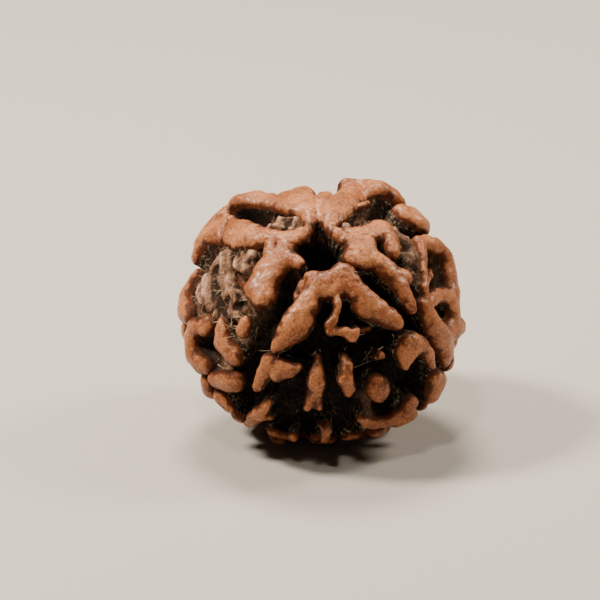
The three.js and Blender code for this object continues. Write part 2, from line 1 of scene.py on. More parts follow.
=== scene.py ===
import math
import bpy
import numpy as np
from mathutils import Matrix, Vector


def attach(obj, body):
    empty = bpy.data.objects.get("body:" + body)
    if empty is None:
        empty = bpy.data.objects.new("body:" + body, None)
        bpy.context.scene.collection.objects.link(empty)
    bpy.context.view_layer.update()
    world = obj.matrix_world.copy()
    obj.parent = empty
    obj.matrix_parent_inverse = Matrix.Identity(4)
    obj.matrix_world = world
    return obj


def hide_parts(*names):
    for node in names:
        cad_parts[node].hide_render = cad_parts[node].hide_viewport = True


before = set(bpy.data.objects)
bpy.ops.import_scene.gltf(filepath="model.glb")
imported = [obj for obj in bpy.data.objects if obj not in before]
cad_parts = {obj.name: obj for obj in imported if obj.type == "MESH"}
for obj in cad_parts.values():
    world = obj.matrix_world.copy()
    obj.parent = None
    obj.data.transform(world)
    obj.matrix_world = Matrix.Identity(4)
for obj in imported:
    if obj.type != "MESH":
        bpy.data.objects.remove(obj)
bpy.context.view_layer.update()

# A rudraksha seed: one hard, woody stone with thick rounded ridges over dark recesses, five seams and a
# canal. Sizes and places are millimetres and degrees here, as on the stone, and become metres in the
# meshes. Places are given as an azimuth round the stone's axis, with 0 at the lowest side and 90 towards
# +X, and a polar angle from the near mouth. Ridge widths are arcs on a sphere of READ_RADIUS.

MM = 0.001

# Overall form
EQUATOR_RADIUS = 10.75
POLE_RADIUS = 9.3
READ_RADIUS = 10
AXIS_LEAN = 33
CENTRE = (0.07, -0.09, 9.2)

# Slow swells of the surface: heights in mm, waves and starts in radians
ACROSS_SWELL = 0.12
ACROSS_WAVES = 5.1
ACROSS_START = 1.3
SIDE_WAVES = 4.3
SIDE_START = 0.4
ALONG_SWELL = 0.1
ALONG_WAVES = 6.2
ALONG_START = 2.1

# Section across a ridge: a round shoulder, as wide as the ridge allows, then a steep wall down to the
# recess floor
LEAST_SHOULDER = 0.3
MOST_SHOULDER = 1.0
SHOULDER_FALL = 0.95
RECESS_DEPTH = 2.2
RIDGE_BLEND = 0.15

# Canal
CANAL_RADIUS = 0.7
FAR_MOUTH_RADIUS = 1.15

# The near mouth's rim, as [azimuth, polar angle]: its five points reach into the seams
MOUTH_RIM = [
    [0, 11.6], [15, 11.3], [36, 10.1], [58, 9], [78, 9.4], [94, 10.2], [103, 9.8], [118, 8.2], [137, 7.8],
    [155, 8.6], [169, 10.3], [177, 14.2], [187, 17], [194, 15.6], [202, 12.6], [210, 10.8], [222, 9.3],
    [233, 8.4], [246, 9.8], [258, 12], [270, 12.9], [281, 11.8], [291, 10.8], [305, 10.6], [321, 11.3],
    [337, 12.3], [350, 11.8],
]

# The ridges of the near side. Each run is a chain of [azimuth, polar angle, half-width, extra height], and
# the runs of one group melt into each other where they meet.
RIDGES = {
    "lowerLobe": [
        [[352, 19, 1.1], [0, 19, 1.35], [15, 19, 1.4], [28, 18.5, 1.2]],
        [[337, 17, 0.5, -0.15], [348, 15.9, 0.75], [0, 16, 0.9], [20, 15.6, 0.95], [33, 14.7, 0.85],
          [42, 16.8, 0.8, -0.05], [40, 22, 0.9]],
        [[329, 20, 0.4, -0.7], [331, 27, 0.4, -0.9]],
        [[350, 22, 1.0], [345, 30, 1.05], [341.5, 38, 1.2], [340, 42, 1.2], [337, 46, 0.95], [334, 51, 0.5],
          [333, 53, 0.35]],
        [[26, 19, 1.2], [34, 22, 1.05], [38.5, 29, 0.95], [39, 35, 1.2], [43.5, 41, 1.05], [47, 46, 0.85],
          [49.3, 50.5, 0.65]],
        [[15, 25, 0.5], [14, 30, 0.2], [12.5, 33, 0.17], [8.5, 36.5, 0.25], [5.3, 39, 0.3],
          [5.5, 41.8, 0.3], [12.5, 42.2, 0.22], [15.5, 42.8, 0.24], [18.5, 45.5, 0.4], [23.5, 44, 0.25]],
        [[27, 45.5, 0.22, -0.8], [33, 46.3, 0.22, -0.9]],
    ],
    "upperLobes": [
        [[210, 15, 0.95], [225, 14, 0.85], [240, 14.5, 0.95], [245, 17, 1.0]],
        [[245, 17, 1.0], [262, 18.5, 1.15], [280, 18.5, 1.2], [285, 15.5, 0.85], [300, 14, 0.5],
          [312, 13.9, 0.42]],
        [[246.5, 20, 1.0], [247, 26, 0.9], [246, 32, 1.0], [244.5, 40, 1.2], [242, 48, 1.35],
          [239.5, 56, 1.35, 0.1], [237, 63, 1.3, 0.5], [238, 70, 1.2, 1.0]],
        [[225, 63, 0.85, 0.9], [231, 67, 1.0, 1.05], [237, 70.5, 1.05, 1.1], [243, 73.5, 1.0, 1.0],
          [248, 75.5, 0.75, 0.6]],
        [[256, 25, 0.95], [266, 25, 0.95]],
        [[249, 35, 0.95, -0.08], [249, 46, 0.95, -0.08]],
        [[276, 22, 1.3], [290, 29, 1.5], [299, 35, 1.5], [305, 36.5, 1.3]],
        [[203, 17, 0.9], [200, 21, 1.15], [197.5, 30, 1.5], [199, 40, 1.85], [197, 50, 1.7], [192, 56, 1.3]],
        [[208, 40, 1.1], [213, 50, 1.0, 0.35], [217, 57, 1.05, 0.9], [222, 61.5, 1.0, 1.25],
          [228, 65, 0.8, 1.2]],
        [[184, 21, 0.8, -0.1], [183, 29, 1.0, 0], [180, 36, 1.1, 0.05], [178, 44, 0.9, 0]],
        [[168, 17, 1.1], [168, 24, 1.3], [167.5, 30, 1.45], [165, 38, 1.5], [162, 48, 1.45],
          [162, 57, 1.2, 0.5]],
        [[167, 60, 0.8, 0.85], [158, 60, 0.9, 1.15], [153, 61, 0.8, 1.3]],
        [[156, 54, 0.8, 0.8], [152, 59, 0.9, 1.35], [146, 63.5, 0.8, 1.2], [142.5, 65, 0.6, 0.9]],
        [[152, 38, 0.5], [150, 46, 0.5, -0.1]],
        [[160, 14.5, 0.9], [148, 12.6, 0.8], [133, 12.4, 0.75], [118, 14, 1.0]],
        [[78, 19, 1.2], [88, 18.5, 1.4], [100, 17.5, 1.55], [118, 16.5, 1.3], [119, 24, 1.05],
          [120, 30, 1.15], [121.5, 35, 1.25]],
        [[98, 12.6, 0.7, -0.25], [82, 13.6, 0.75, -0.35], [69, 15.5, 0.65, -0.45]],
        [[92, 22, 1.0], [106, 22, 1.0]],
        [[121, 35, 1.2], [112, 36.5, 0.85], [103, 36, 0.8], [96, 35, 0.6]],
        [[85, 20, 1.1], [82, 28, 1.0], [76.5, 34, 1.02], [71, 41, 0.8], [67.5, 45.5, 0.64],
          [64.8, 48.5, 0.58], [63, 52, 0.42]],
        [[77, 38, 0.9], [79, 42, 0.8]],
    ],
    "upperRightBall": [
        [[131, 57, 1.25, 0.65], [128.5, 60, 1.4, 0.85], [127, 63, 1.15, 0.8]],
    ],
    "farRight": [
        [[110.5, 53, 0.45, 0.2], [104.5, 52.3, 0.42, 0.15], [99, 52, 0.32, 0.1], [94, 51.8, 0.28],
          [90, 52.2, 0.27], [85, 53.5, 0.3], [80, 53.6, 0.35], [76, 56, 0.45]],
        [[110.5, 53, 0.45, 0.2], [111.5, 60, 0.75, 0.5], [112, 66, 0.8, 0.65], [108, 71, 0.85, 0.7],
          [100, 74, 0.9, 0.55], [93, 76, 0.9, 0.45], [87, 76, 0.95, 0.4], [83, 79, 0.9, 0.4]],
        [[95.5, 58.4, 0.16, -0.1], [91, 57.4, 0.18, -0.05], [85.5, 55, 0.22]],
        [[71, 56, 0.5], [69, 61, 0.75, 0.1], [67.3, 67, 0.95, 0.15], [67.6, 73, 1.15, 0.15],
          [68.5, 79, 1.2, 0.15], [67.5, 85, 1.0, 0.1], [66, 89, 0.6]],
        [[72.5, 58, 0.5], [78, 60.5, 0.5], [82.5, 63, 0.5], [86, 68, 0.6, 0.2], [88, 75, 0.8, 0.4]],
        [[73, 79, 1.0, 0.1], [78, 82, 1.1, 0.3], [82, 86, 0.8, 0.5]],
    ],
    "firstBar": [
        [[357.2, 54, 0.25, -0.9], [357.2, 57.5, 0.3, -0.45], [356.9, 61, 0.45, -0.05],
          [356.8, 65, 0.66, 0.1], [356.6, 69.5, 0.55, -0.3]],
        [[355.3, 71, 0.42, -0.4], [353.3, 77.3, 0.32, -0.1]],
        [[357.6, 71, 0.38, -0.4], [358.6, 77.3, 0.28, -0.2]],
        [[356.4, 71, 0.42, -0.5], [356, 76.5, 0.35, -0.6]],
    ],
    "secondBar": [
        [[12.5, 55.5, 0.35, -0.8], [13, 59, 0.42, -0.3], [11, 64, 0.56, 0.1], [12.3, 69, 0.46, -0.2],
          [12, 72.5, 0.36, -0.5]],
    ],
    "triangle": [
        [[331, 60, 0.5], [331, 66, 0.5], [330, 73, 0.42]],
        [[333, 61, 0.7], [338, 62, 0.8], [343, 61, 0.55], [348, 58.5, 0.3]],
        [[338, 62, 0.7], [337, 65, 0.6]],
    ],
    "smallKnob": [
        [[28.4, 59.6, 0.15, -0.5], [31.5, 58.6, 0.36]],
    ],
    "lowerBall": [
        [[26.2, 70, 0.6, -0.15], [26.2, 72.8, 0.96], [26.6, 76, 0.9]],
    ],
    "rightHook": [
        [[41.6, 69, 0.35], [43.8, 66, 0.6], [45, 63.3, 0.72], [48.5, 61, 0.66], [52, 63, 0.66],
          [54.8, 67, 0.58], [55.3, 73, 0.42], [54.3, 79, 0.32]],
        [[46.5, 66, 0.65], [51.5, 66.5, 0.6]],
    ],
    "cupRidge": [
        [[15.8, 85.5, 0.28], [18.6, 89, 0.38], [22.5, 92.5, 0.48], [28, 95, 0.58], [33, 95.5, 0.62, 0.1],
          [37.5, 93.5, 0.65, 0.2], [39.8, 89.5, 0.5, 0.1], [39, 86.5, 0.35]],
        [[34, 98.5, 0.7, 0.3], [38.5, 97, 0.8, 0.4]],
    ],
    "sideBall": [
        [[54, 87.5, 0.9, 0.2], [55, 92.5, 1.1, 0.4], [53.5, 97.5, 0.9, 0.4]],
    ],
    "lowBar": [
        [[2.8, 87, 0.2, -0.3], [2, 89.5, 0.3], [1.6, 93, 0.27], [1.2, 101, 0.27, -0.2], [1, 107, 0.3, -0.4]],
        [[359.3, 88.5, 0.12, -0.5], [357.5, 87, 0.12, -0.6]],
        [[356.5, 104, 0.45, -0.6], [357, 109, 0.5, -0.6]],
    ],
    "dimBall": [
        [[347.5, 98, 0.42, -0.1], [347.5, 101, 0.45, -0.1]],
    ],
    "leftBall": [
        [[309.5, 50.5, 0.55], [311, 54, 0.68]],
    ],
    "barkRidge": [
        [[273, 46.5, 0.3, -1.0], [280, 44.8, 0.45, -0.85], [288, 42.8, 0.45, -0.85], [295, 43.5, 0.35, -1.0]],
    ],
    "teardrop": [
        [[296, 60.3, 0.3, -0.1], [299.6, 63.3, 0.62], [304, 67.2, 0.9], [311, 67.8, 0.93], [314, 67.3, 0.8]],
    ],
    "leftHook": [
        [[289.5, 69, 0.75, -0.1], [290, 72.5, 0.62]],
        [[288, 73, 0.6, 0.05], [284, 78, 0.68, 0.15], [286, 84, 0.72, 0.25], [291, 88.5, 0.8, 0.35],
          [297, 87.5, 0.85, 0.25], [301, 84.5, 0.75, 0.1]],
    ],
    "leftBar": [
        [[307.5, 86.5, 0.72, 0.05], [313.5, 82.5, 0.78, 0.05], [318, 78.5, 0.78, 0.05], [319.5, 76, 0.6]],
    ],
    "underLump": [
        [[302.5, 94, 0.75, 0.2], [304, 98.5, 0.85, 0.3]],
    ],
    "underBall": [
        [[312.5, 94, 0.8, 0.25], [316, 95, 0.85, 0.2]],
    ],
    "boot": [
        [[336, 79, 0.26, -0.25], [335, 82.5, 0.33], [332.7, 87, 0.5], [330.5, 92.5, 0.5],
          [326.8, 100.5, 0.33]],
        [[336, 91, 0.45, -0.6], [333, 90, 0.4, -0.2]],
    ],
    "edgeRidge": [
        [[257, 76, 0.55], [260, 80, 0.75, 0.1], [264, 84, 0.95, 0.35], [270, 85, 1.0, 0.35],
          [275, 82, 0.9, 0.1]],
    ],
    "underKnobs": [
        [[12, 107, 0.7, -0.5], [17, 110, 0.85, -0.4]],
        [[25, 107, 0.85, -0.1], [30, 111, 0.9]],
        [[337, 107, 0.7, -0.3], [344, 110, 0.8, -0.4]],
        [[357, 115, 0.8, -0.4], [3, 116, 0.8, -0.4]],
    ],
}

# Seams and cracks, cut into the ridges with sides this much steeper: chains of [azimuth, polar angle,
# half-width]
SEAM_STEEPNESS = 2.2
SEAMS = [
    [[53, 9, 0.05], [60, 12, 0.06], [60, 18, 0.08], [57.5, 25, 0.3], [57, 32, 0.35], [56.5, 42, 0.25],
      [57, 50, 0.2]],
    [[316, 11, 0.03], [316, 18, 0.08], [318, 22, 0.22], [322, 30, 0.4], [324, 36, 0.48], [325, 42, 0.45],
      [324, 48, 0.35]],
    [[215, 18, 0.3], [218, 24, 0.85], [223.5, 34, 0.85], [225.5, 42, 0.7], [226, 50, 0.45], [227, 62, 0.4]],
    [[149, 15.8, 0.2], [143, 21, 0.55], [141, 29, 0.9], [141.5, 40, 0.85], [142.5, 48, 0.6], [141, 57, 0.4]],
    [[247.5, 57.5, 0.25], [243.5, 58, 0.08], [238.5, 59, 0.0], [233, 60, -0.1]],
    [[266, 31.3, 0.15], [272, 33.5, 0.28], [279, 36.5, 0.3], [284, 39.5, 0.2]],
    [[106, 29, 0.13], [98, 28.7, 0.15], [91, 30, 0.15], [88, 32.5, 0.12]],
    [[60, 106, 0.25], [63, 135, 0.25], [62, 168, 0.1]],
    [[136, 76, 0.25], [134, 110, 0.25], [137, 168, 0.1]],
    [[178, 52, 0.5], [178, 62, 1.0], [181, 74, 0.5], [187, 110, 0.25], [190, 168, 0.1]],
    [[222, 74, 0.25], [236, 110, 0.25], [245, 168, 0.1]],
    [[324, 105, 0.25], [318, 135, 0.25], [316, 168, 0.1]],
]

# Places where the recess floor is shallower or deeper than elsewhere, [azimuth, polar angle, reach,
# change], and the least depth that the shallow ones add up to
FLOOR_CHANGES = [
    [256, 37, 1.2, -1.0], [261, 40, 1.9, -1.2], [262, 54, 2.2, -1.5], [280, 48, 2.2, -1.6],
    [290, 56, 2.0, -1.4], [272, 67, 2.5, -1.6], [249, 58, 1.4, -1.3], [297, 47, 1.6, -1.2],
    [219, 24, 1.6, -1.7], [230, 34, 1.5, -1.1], [143, 21, 1.4, -1.6], [141, 42, 1.6, -0.7],
    [111, 46, 1.2, -1.3], [97, 46, 1.3, -1.4], [85, 47.5, 1.1, -1.2], [122, 45, 1.1, -1.3],
    [98, 61, 1.8, -0.8], [309, 77.5, 1.0, -1.2], [20.5, 86.3, 0.7, -1.1], [75.5, 69.5, 0.9, -1.2],
    [35, 81, 0.8, -0.9], [310, 62, 1.0, -0.5], [254.5, 49, 0.45, 2.4], [256, 66, 0.8, 2.4],
    [267, 32, 0.45, 1.6], [280, 37, 0.5, 2.4], [106, 42.5, 0.6, 1.0], [56, 42, 1.6, 0.7],
    [324, 38, 1.4, 0.6], [10, 50, 2.0, 0.4],
]
LEAST_FLOOR = 0.45

# The far sides carry knobs on a lattice of directions, joined to some of their neighbours, and smaller
# knobs in the bare places between them
SITE_COUNT = 250
SITE_SHIFT = 0.07
SITE_HALF = 0.68
SITE_SPREAD = 0.5
SITE_GAP = 0.3
SITE_CROWDING = 0.75
SITE_ON_SEAM = 0.55
SITE_LIFT_SPREAD = 0.5
SITE_LIFT_MIDDLE = 0.6
FILL_COUNT = 900
FILL_LEAST = 0.42
FILL_MOST = 0.85
FRONT_LIMIT = 76
FILL_LIMIT = 84
VIEW_POLAR = 35
LINK_REACH = 2.9
LINK_SHARE = 0.55
NECK_HALF = 0.6
NECK_LIFT = -0.2

# The three knobs it rests on stand round the lowest point, each as [turn round it, extra height], and the
# others there are lower
FOOT_ANGLE = 19
FOOT_HALF = 1.25
FEET = [[90, 0.5], [210, 0], [330, 0.25]]
FOOT_ZONE = 31
FOOT_LINK_REACH = 3.4
FOOT_ZONE_LIFT = -0.7

# Where the recess floors are pale and matted with dried fibres: [azimuth, polar angle, reach, strength]
PALE_PLACES = [
    [262, 42, 2.2, 1.5], [262, 56, 2.4, 1.5], [281, 50, 2.4, 1.5], [292, 58, 1.8, 1.3], [272, 68, 2.4, 1.4],
    [249, 58, 1.4, 1.1], [298, 48, 1.6, 1.3], [219, 24, 1.7, 1.4], [231, 35, 1.8, 0.95],
    [143, 22, 1.7, 1.3], [141, 42, 1.8, 0.7], [309, 77.5, 1.2, 0.9], [20.5, 86.3, 0.7, 0.8],
    [98, 62, 1.9, 0.8], [306, 18, 0.9, 0.4], [111, 46, 1.3, 0.55], [97, 46, 1.4, 0.5], [85, 47.5, 1.1, 0.5],
    [122, 45, 1.0, 0.2], [75.5, 69.5, 1.0, 0.7], [310, 60, 0.9, 0.5], [327, 20, 0.7, 0.6],
    [254.5, 49, 0.5, -1.6], [256, 66, 0.9, -1.6], [267, 32, 0.5, -1.6], [280, 37, 0.5, -2.0],
    [106, 42.5, 0.7, -1.2], [180, 74, 2.4, 0.5], [205, 70, 1.6, 0.4], [150, 78, 1.6, 0.35],
]
PALE_EDGE = 0.12

# Fine mesh of the stone: columns round the axis, rows over the outside, rows back through the canal
COLUMNS = 420
OUTSIDE_ROWS = 202
CANAL_ROWS = 32
ROW_EASE = 1.15
RIM_START = 0.84
RIM_END = 1.6

# Walls of the ridges: UNDERCUT and WALL_SHIFT draw them in under the edge, and the floor that they pull
# along spreads out again over FLOOR_RETURN
UNDERCUT = 0.06
WALL_SPAN = 0.5
WALL_SHIFT = 0.62
WALL_EASE = 1.8
FLOOR_RETURN = 0.9

# Painted shade down a ridge's flanks: how much deeper than it lies a flank counts for its colour, in mm
FLANK_SHADE = 0.62

# Canal of the mesh: heights on the axis, in mm from the centre, where it has narrowed to its bore
FAR_BORE = -5.8
NEAR_BORE = 4.2
CANAL_EASE = 1.7
CANAL_FADE_ROWS = 4

# Uneven surfaces, each as (height, size, seed) in mm
EDGE_WAVES = [(0.06, 0.9, 12), (0.045, 0.33, 13)]
DEPTH_WAVES = [(0.1, 1.1, 3)]
RIDGE_LUMPS = [(0.08, 1.4, 5), (0.05, 0.6, 6), (0.025, 0.26, 7)]
FLOOR_STREAKS = [(0.22, 0.45, 8), (0.13, 0.22, 9)]
CANAL_LUMPS = [(0.1, 0.7, 11)]

# Pits in the pale floors, where the noise passes PIT_START
PIT_WAVES = [(1.0, 0.85, 14)]
PIT_START = 0.28
PIT_DEPTH = 0.65

# The recess floors are streaked down the stone: their noise is stretched along the direction of azimuth 0
STREAK = np.array([0.3, 1.0, 1.0])

# Steps of the even lattice and of the repeatable draws
GOLDEN = (1 + math.sqrt(5)) / 2
DRAW_STEP = 0.7548776662466927
SALT_STEP = 0.5698402909980532

# Salts that keep the draws for the far sides' knobs and necks apart
SHIFT_SALTS = (1, 2, 3)
HALF_SALT = 4
LIFT_SALT = 5
NECK_SALT = 6
FILL_SALT = 7
PAIR_STEP = 7

# Lattice noise: whole numbers that scramble a cell's place and the seed
CELL_KEYS = np.array([73856093, 19349663, 83492791])
SEED_KEY = 2654435761
SCRAMBLE_KEY = 1274126177
KEY_BITS = 0xFFFFFFFF
VALUE_BITS = 0xFFFF
CELL_SHIFT = 500

# Working values: the step in radians for a slope, the least squared length of a piece, and how many
# directions are worked on at a time
SLOPE_STEP = 0.008
LEAST_LENGTH = 1e-12
BLOCK_SIZE = 6000


def directions(azimuth, polar):
    """Unit directions on the stone for azimuths and polar angles in degrees."""
    turn, tilt = np.broadcast_arrays(np.radians(azimuth), np.radians(polar))
    return np.stack([np.sin(tilt) * np.cos(turn), np.sin(tilt) * np.sin(turn), np.cos(tilt)], axis=-1)


def unit(vectors):
    """Vectors scaled to length 1."""
    return vectors / np.linalg.norm(vectors, axis=-1, keepdims=True)


VIEW = directions(0, VIEW_POLAR)
DOWN = directions(0, 180 - AXIS_LEAN)


def draw(index, salt):
    """Even draws between 0 and 1 that repeat on every run: the fraction left by a step for each index."""
    value = (index + 1) * DRAW_STEP + salt * SALT_STEP
    return value - np.floor(value)


def lattice_directions(count):
    """Evenly spread directions: equal steps along the axis, each turned on by the golden ratio of a turn."""
    index = np.arange(count)
    z = 1 - (2 * index + 1) / count
    ring = np.sqrt(1 - z * z)
    turn = 2 * np.pi * (index / GOLDEN - np.floor(index / GOLDEN))
    return np.stack([ring * np.cos(turn), ring * np.sin(turn), z], axis=-1)


class Pieces:
    """Straight pieces of ridges or seams as arrays: start, step to the end, half-widths, extra heights."""

    def __init__(self, rows):
        table = np.array(rows, float)
        self.start = table[:, 0:3]
        self.step = table[:, 3:6] - table[:, 0:3]
        self.half = table[:, 6:8]
        self.lift = table[:, 8:10]

    def edges(self, at):
        """Distance in mm outside each piece's edge, its extra height and its half-width, for every direction.

        The nearest point of a piece lies at the share (offset . step) / |step|^2 along it, kept within
        0 and 1, and the squared distance to it is |offset|^2 - share (2 offset . step - share |step|^2).
        """
        length = (self.step ** 2).sum(axis=1)
        onward = at @ self.step.T - (self.start * self.step).sum(axis=1)
        away = 2 - 2 * (at @ self.start.T)
        share = np.clip(onward / np.maximum(length, LEAST_LENGTH), 0, 1)
        squared = np.maximum(away - share * (2 * onward - share * length), 0)
        half = self.half[:, 0] + (self.half[:, 1] - self.half[:, 0]) * share
        lift = self.lift[:, 0] + (self.lift[:, 1] - self.lift[:, 0]) * share
        return np.sqrt(squared) * READ_RADIUS - half, lift, half


def piece_row(at, to, half, to_half, lift, to_lift):
    """One straight piece as a row of numbers."""
    return [*at, *to, half, to_half, lift, to_lift]


def run_rows(run):
    """The straight pieces of a chain of [azimuth, polar angle, half-width, extra height]."""
    posts = [(directions(post[0], post[1]), post[2], post[3] if len(post) > 3 else 0.0) for post in run]
    rows = []
    for (at, half, lift), (to, to_half, to_lift) in zip(posts, posts[1:]):
        rows.append(piece_row(at, to, half, to_half, lift, to_lift))
    return rows


def group_rows(runs):
    """The straight pieces of all the chains of a group."""
    return [row for run in runs for row in run_rows(run)]


class Ridges:
    """Groups of pieces. Those of a group melt together by a soft minimum, and the nearest group counts."""

    def __init__(self, groups):
        self.pieces = Pieces([row for group in groups for row in group])
        counts = [len(group) for group in groups]
        self.firsts = np.concatenate([[0], np.cumsum(counts)[:-1]])
        self.owner = np.repeat(np.arange(len(groups)), counts)

    def nearest(self, at):
        """Distance outside the nearest group, its extra height and its half-width, for every direction."""
        edges, lifts, halves = self.pieces.edges(at)
        close = np.minimum.reduceat(edges, self.firsts, axis=1)
        weights = np.exp((close[:, self.owner] - edges) / RIDGE_BLEND)
        shares = np.add.reduceat(weights, self.firsts, axis=1)
        heights = np.add.reduceat(weights * lifts, self.firsts, axis=1) / shares
        widths = np.add.reduceat(weights * halves, self.firsts, axis=1) / shares
        joined = close - RIDGE_BLEND * np.log(shares)
        best = joined.argmin(axis=1)
        row = np.arange(len(at))
        return joined[row, best], heights[row, best], widths[row, best]


front_groups = [group_rows(runs) for runs in RIDGES.values()]
front_ridges = Ridges(front_groups)
seam_pieces = Pieces(group_rows(SEAMS))


def seam_edge(at):
    """Distance outside the nearest seam or crack."""
    return seam_pieces.edges(at)[0].min(axis=1)


def foot_knobs():
    """Directions of the three knobs it rests on: FOOT_ANGLE away from straight down, at the turns in FEET."""
    side = np.array([0.0, 1.0, 0.0])
    ahead = np.cross(side, DOWN)
    turn = np.radians([foot[0] for foot in FEET])[:, None]
    sideways = side * np.cos(turn) + ahead * np.sin(turn)
    tilt = math.radians(FOOT_ANGLE)
    return DOWN * math.cos(tilt) + sideways * math.sin(tilt)


def is_in_front(at, limit):
    """Whether each direction lies within that angle of the middle of the near side."""
    return at @ VIEW > math.cos(math.radians(limit))


def lattice_knobs(feet):
    """Knobs of the far sides, on a shifted lattice, clear of the near ridges, the seams and the feet."""
    index = np.arange(SITE_COUNT)
    shift = np.stack([draw(index, salt) for salt in SHIFT_SALTS], axis=-1)
    at = unit(lattice_directions(SITE_COUNT) + SITE_SHIFT * (shift - 0.5) * 2)
    half = SITE_HALF + SITE_SPREAD * draw(index, HALF_SALT)
    crowded = front_ridges.nearest(at)[0] < half * SITE_CROWDING + SITE_GAP
    on_seam = seam_edge(at) < half * SITE_ON_SEAM
    to_foot = np.linalg.norm(at[:, None] - feet[None], axis=-1).min(axis=1) * READ_RADIUS
    by_foot = to_foot < FOOT_HALF + half + SITE_GAP
    in_zone = at @ DOWN > math.cos(math.radians(FOOT_ZONE))
    free_lift = SITE_LIFT_SPREAD * (draw(index, LIFT_SALT) - SITE_LIFT_MIDDLE)
    lift = np.where(in_zone, FOOT_ZONE_LIFT, free_lift)
    kept = ~(is_in_front(at, FRONT_LIMIT) | crowded | on_seam | by_foot)
    return at[kept], half[kept], lift[kept]


def filling_knobs(at, half, lift, feet):
    """Adds smaller knobs in the bare places, one after another, each as large as its room allows.

    A place's room is its least distance outside all ridges, seams and knobs so far, less SITE_GAP.
    """
    index = np.arange(FILL_COUNT)
    places = lattice_directions(FILL_COUNT)
    room = np.minimum(front_ridges.nearest(places)[0], seam_edge(places)) - SITE_GAP
    around = np.concatenate([at, feet])
    widths = np.concatenate([half, np.full(len(feet), FOOT_HALF)])
    to_knobs = np.linalg.norm(places[:, None] - around[None], axis=-1) * READ_RADIUS - widths
    room = np.minimum(room, to_knobs.min(axis=1) - SITE_GAP)
    free = (places @ DOWN < math.cos(math.radians(FOOT_ZONE))) & ~is_in_front(places, FILL_LIMIT)
    lifts = SITE_LIFT_SPREAD * (draw(index, FILL_SALT) - SITE_LIFT_MIDDLE)
    added = []
    for site in index[free]:
        if room[site] > FILL_LEAST:
            added.append(site)
            width = min(room[site], FILL_MOST)
            to_new = np.linalg.norm(places - places[site], axis=-1) * READ_RADIUS - width - SITE_GAP
            half = np.append(half, width)
            room = np.minimum(room, to_new)
    return np.concatenate([at, places[added]]), half, np.concatenate([lift, lifts[added]])


def far_rows():
    """Pieces of the far sides: knobs, feet, and necks that join some neighbours."""
    feet = foot_knobs()
    at, half, lift = filling_knobs(*lattice_knobs(feet), feet)
    rows = [piece_row(knob, knob, wide, wide, high, high) for knob, wide, high in zip(at, half, lift)]
    for foot, (_, foot_lift) in zip(feet, FEET):
        rows.append(piece_row(foot, foot, FOOT_HALF, FOOT_HALF, foot_lift, foot_lift))
        for knob, wide, high in zip(at, half, lift):
            if np.linalg.norm(foot - knob) * READ_RADIUS < FOOT_LINK_REACH:
                middle = unit(foot + knob)
                rows.append(piece_row(middle, foot, NECK_HALF, NECK_HALF, FOOT_ZONE_LIFT, FOOT_ZONE_LIFT))
                rows.append(piece_row(middle, knob, NECK_HALF, wide, FOOT_ZONE_LIFT, high))
    first, second = np.triu_indices(len(at), 1)
    middles = unit(at[first] + at[second])
    reach = np.linalg.norm(at[first] - at[second], axis=-1) * READ_RADIUS
    chosen = draw(first * PAIR_STEP + second, NECK_SALT) < LINK_SHARE
    joined = chosen & (seam_edge(middles) > NECK_HALF) & (reach < LINK_REACH)
    for one, other, middle in zip(first[joined], second[joined], middles[joined]):
        rows.append(piece_row(at[one], middle, half[one], NECK_HALF, lift[one], NECK_LIFT))
        rows.append(piece_row(middle, at[other], NECK_HALF, half[other], NECK_LIFT, lift[other]))
    return rows


all_ridges = Ridges(front_groups + [far_rows()])


def rim_polar(azimuth):
    """Polar angle of the near mouth's rim, eased between the points of MOUTH_RIM."""
    turns = np.array([point[0] for point in MOUTH_RIM], float)
    polar = np.array([point[1] for point in MOUTH_RIM], float)
    after = np.searchsorted(turns, azimuth, side="right")
    ahead = after % len(turns)
    behind = (after - 1) % len(turns)
    gap = (turns[ahead] - turns[behind]) % 360
    share = ((azimuth - turns[behind]) % 360) / gap
    ease = share * share * (3 - 2 * share)
    return polar[behind] + (polar[ahead] - polar[behind]) * ease


FAR_RIM_POLAR = 180 - math.degrees(math.asin(FAR_MOUTH_RADIUS / POLE_RADIUS))


def mouth_edge(at):
    """Distance in mm inside the rim of either mouth, negative outside them."""
    polar = np.degrees(np.arccos(np.clip(at[:, 2], -1, 1)))
    azimuth = np.degrees(np.arctan2(at[:, 1], at[:, 0])) % 360
    inside = np.maximum(rim_polar(azimuth) - polar, polar - FAR_RIM_POLAR)
    return np.radians(inside) * READ_RADIUS


def ridge_edge(at):
    """Distance outside the ridges with seams and mouths cut in, the ridge's extra height and its half-width.

    It is worked out in blocks of directions, which keeps the arrays small.
    """
    edges = []
    lifts = []
    halves = []
    for first in range(0, len(at), BLOCK_SIZE):
        part = at[first:first + BLOCK_SIZE]
        edge, lift, half = all_ridges.nearest(part)
        edge = np.maximum(edge, -SEAM_STEEPNESS * seam_edge(part))
        edges.append(np.maximum(edge, mouth_edge(part)))
        lifts.append(lift)
        halves.append(half)
    return np.concatenate(edges), np.concatenate(lifts), np.concatenate(halves)


def near_places(at, places):
    """Sum of bell curves, exp(-(distance / reach)^2) times the change, over places on the stone."""
    total = np.zeros(len(at))
    for azimuth, polar, reach, change in places:
        away = np.linalg.norm(at - directions(azimuth, polar), axis=1) * READ_RADIUS / reach
        total += change * np.exp(-away * away)
    return total


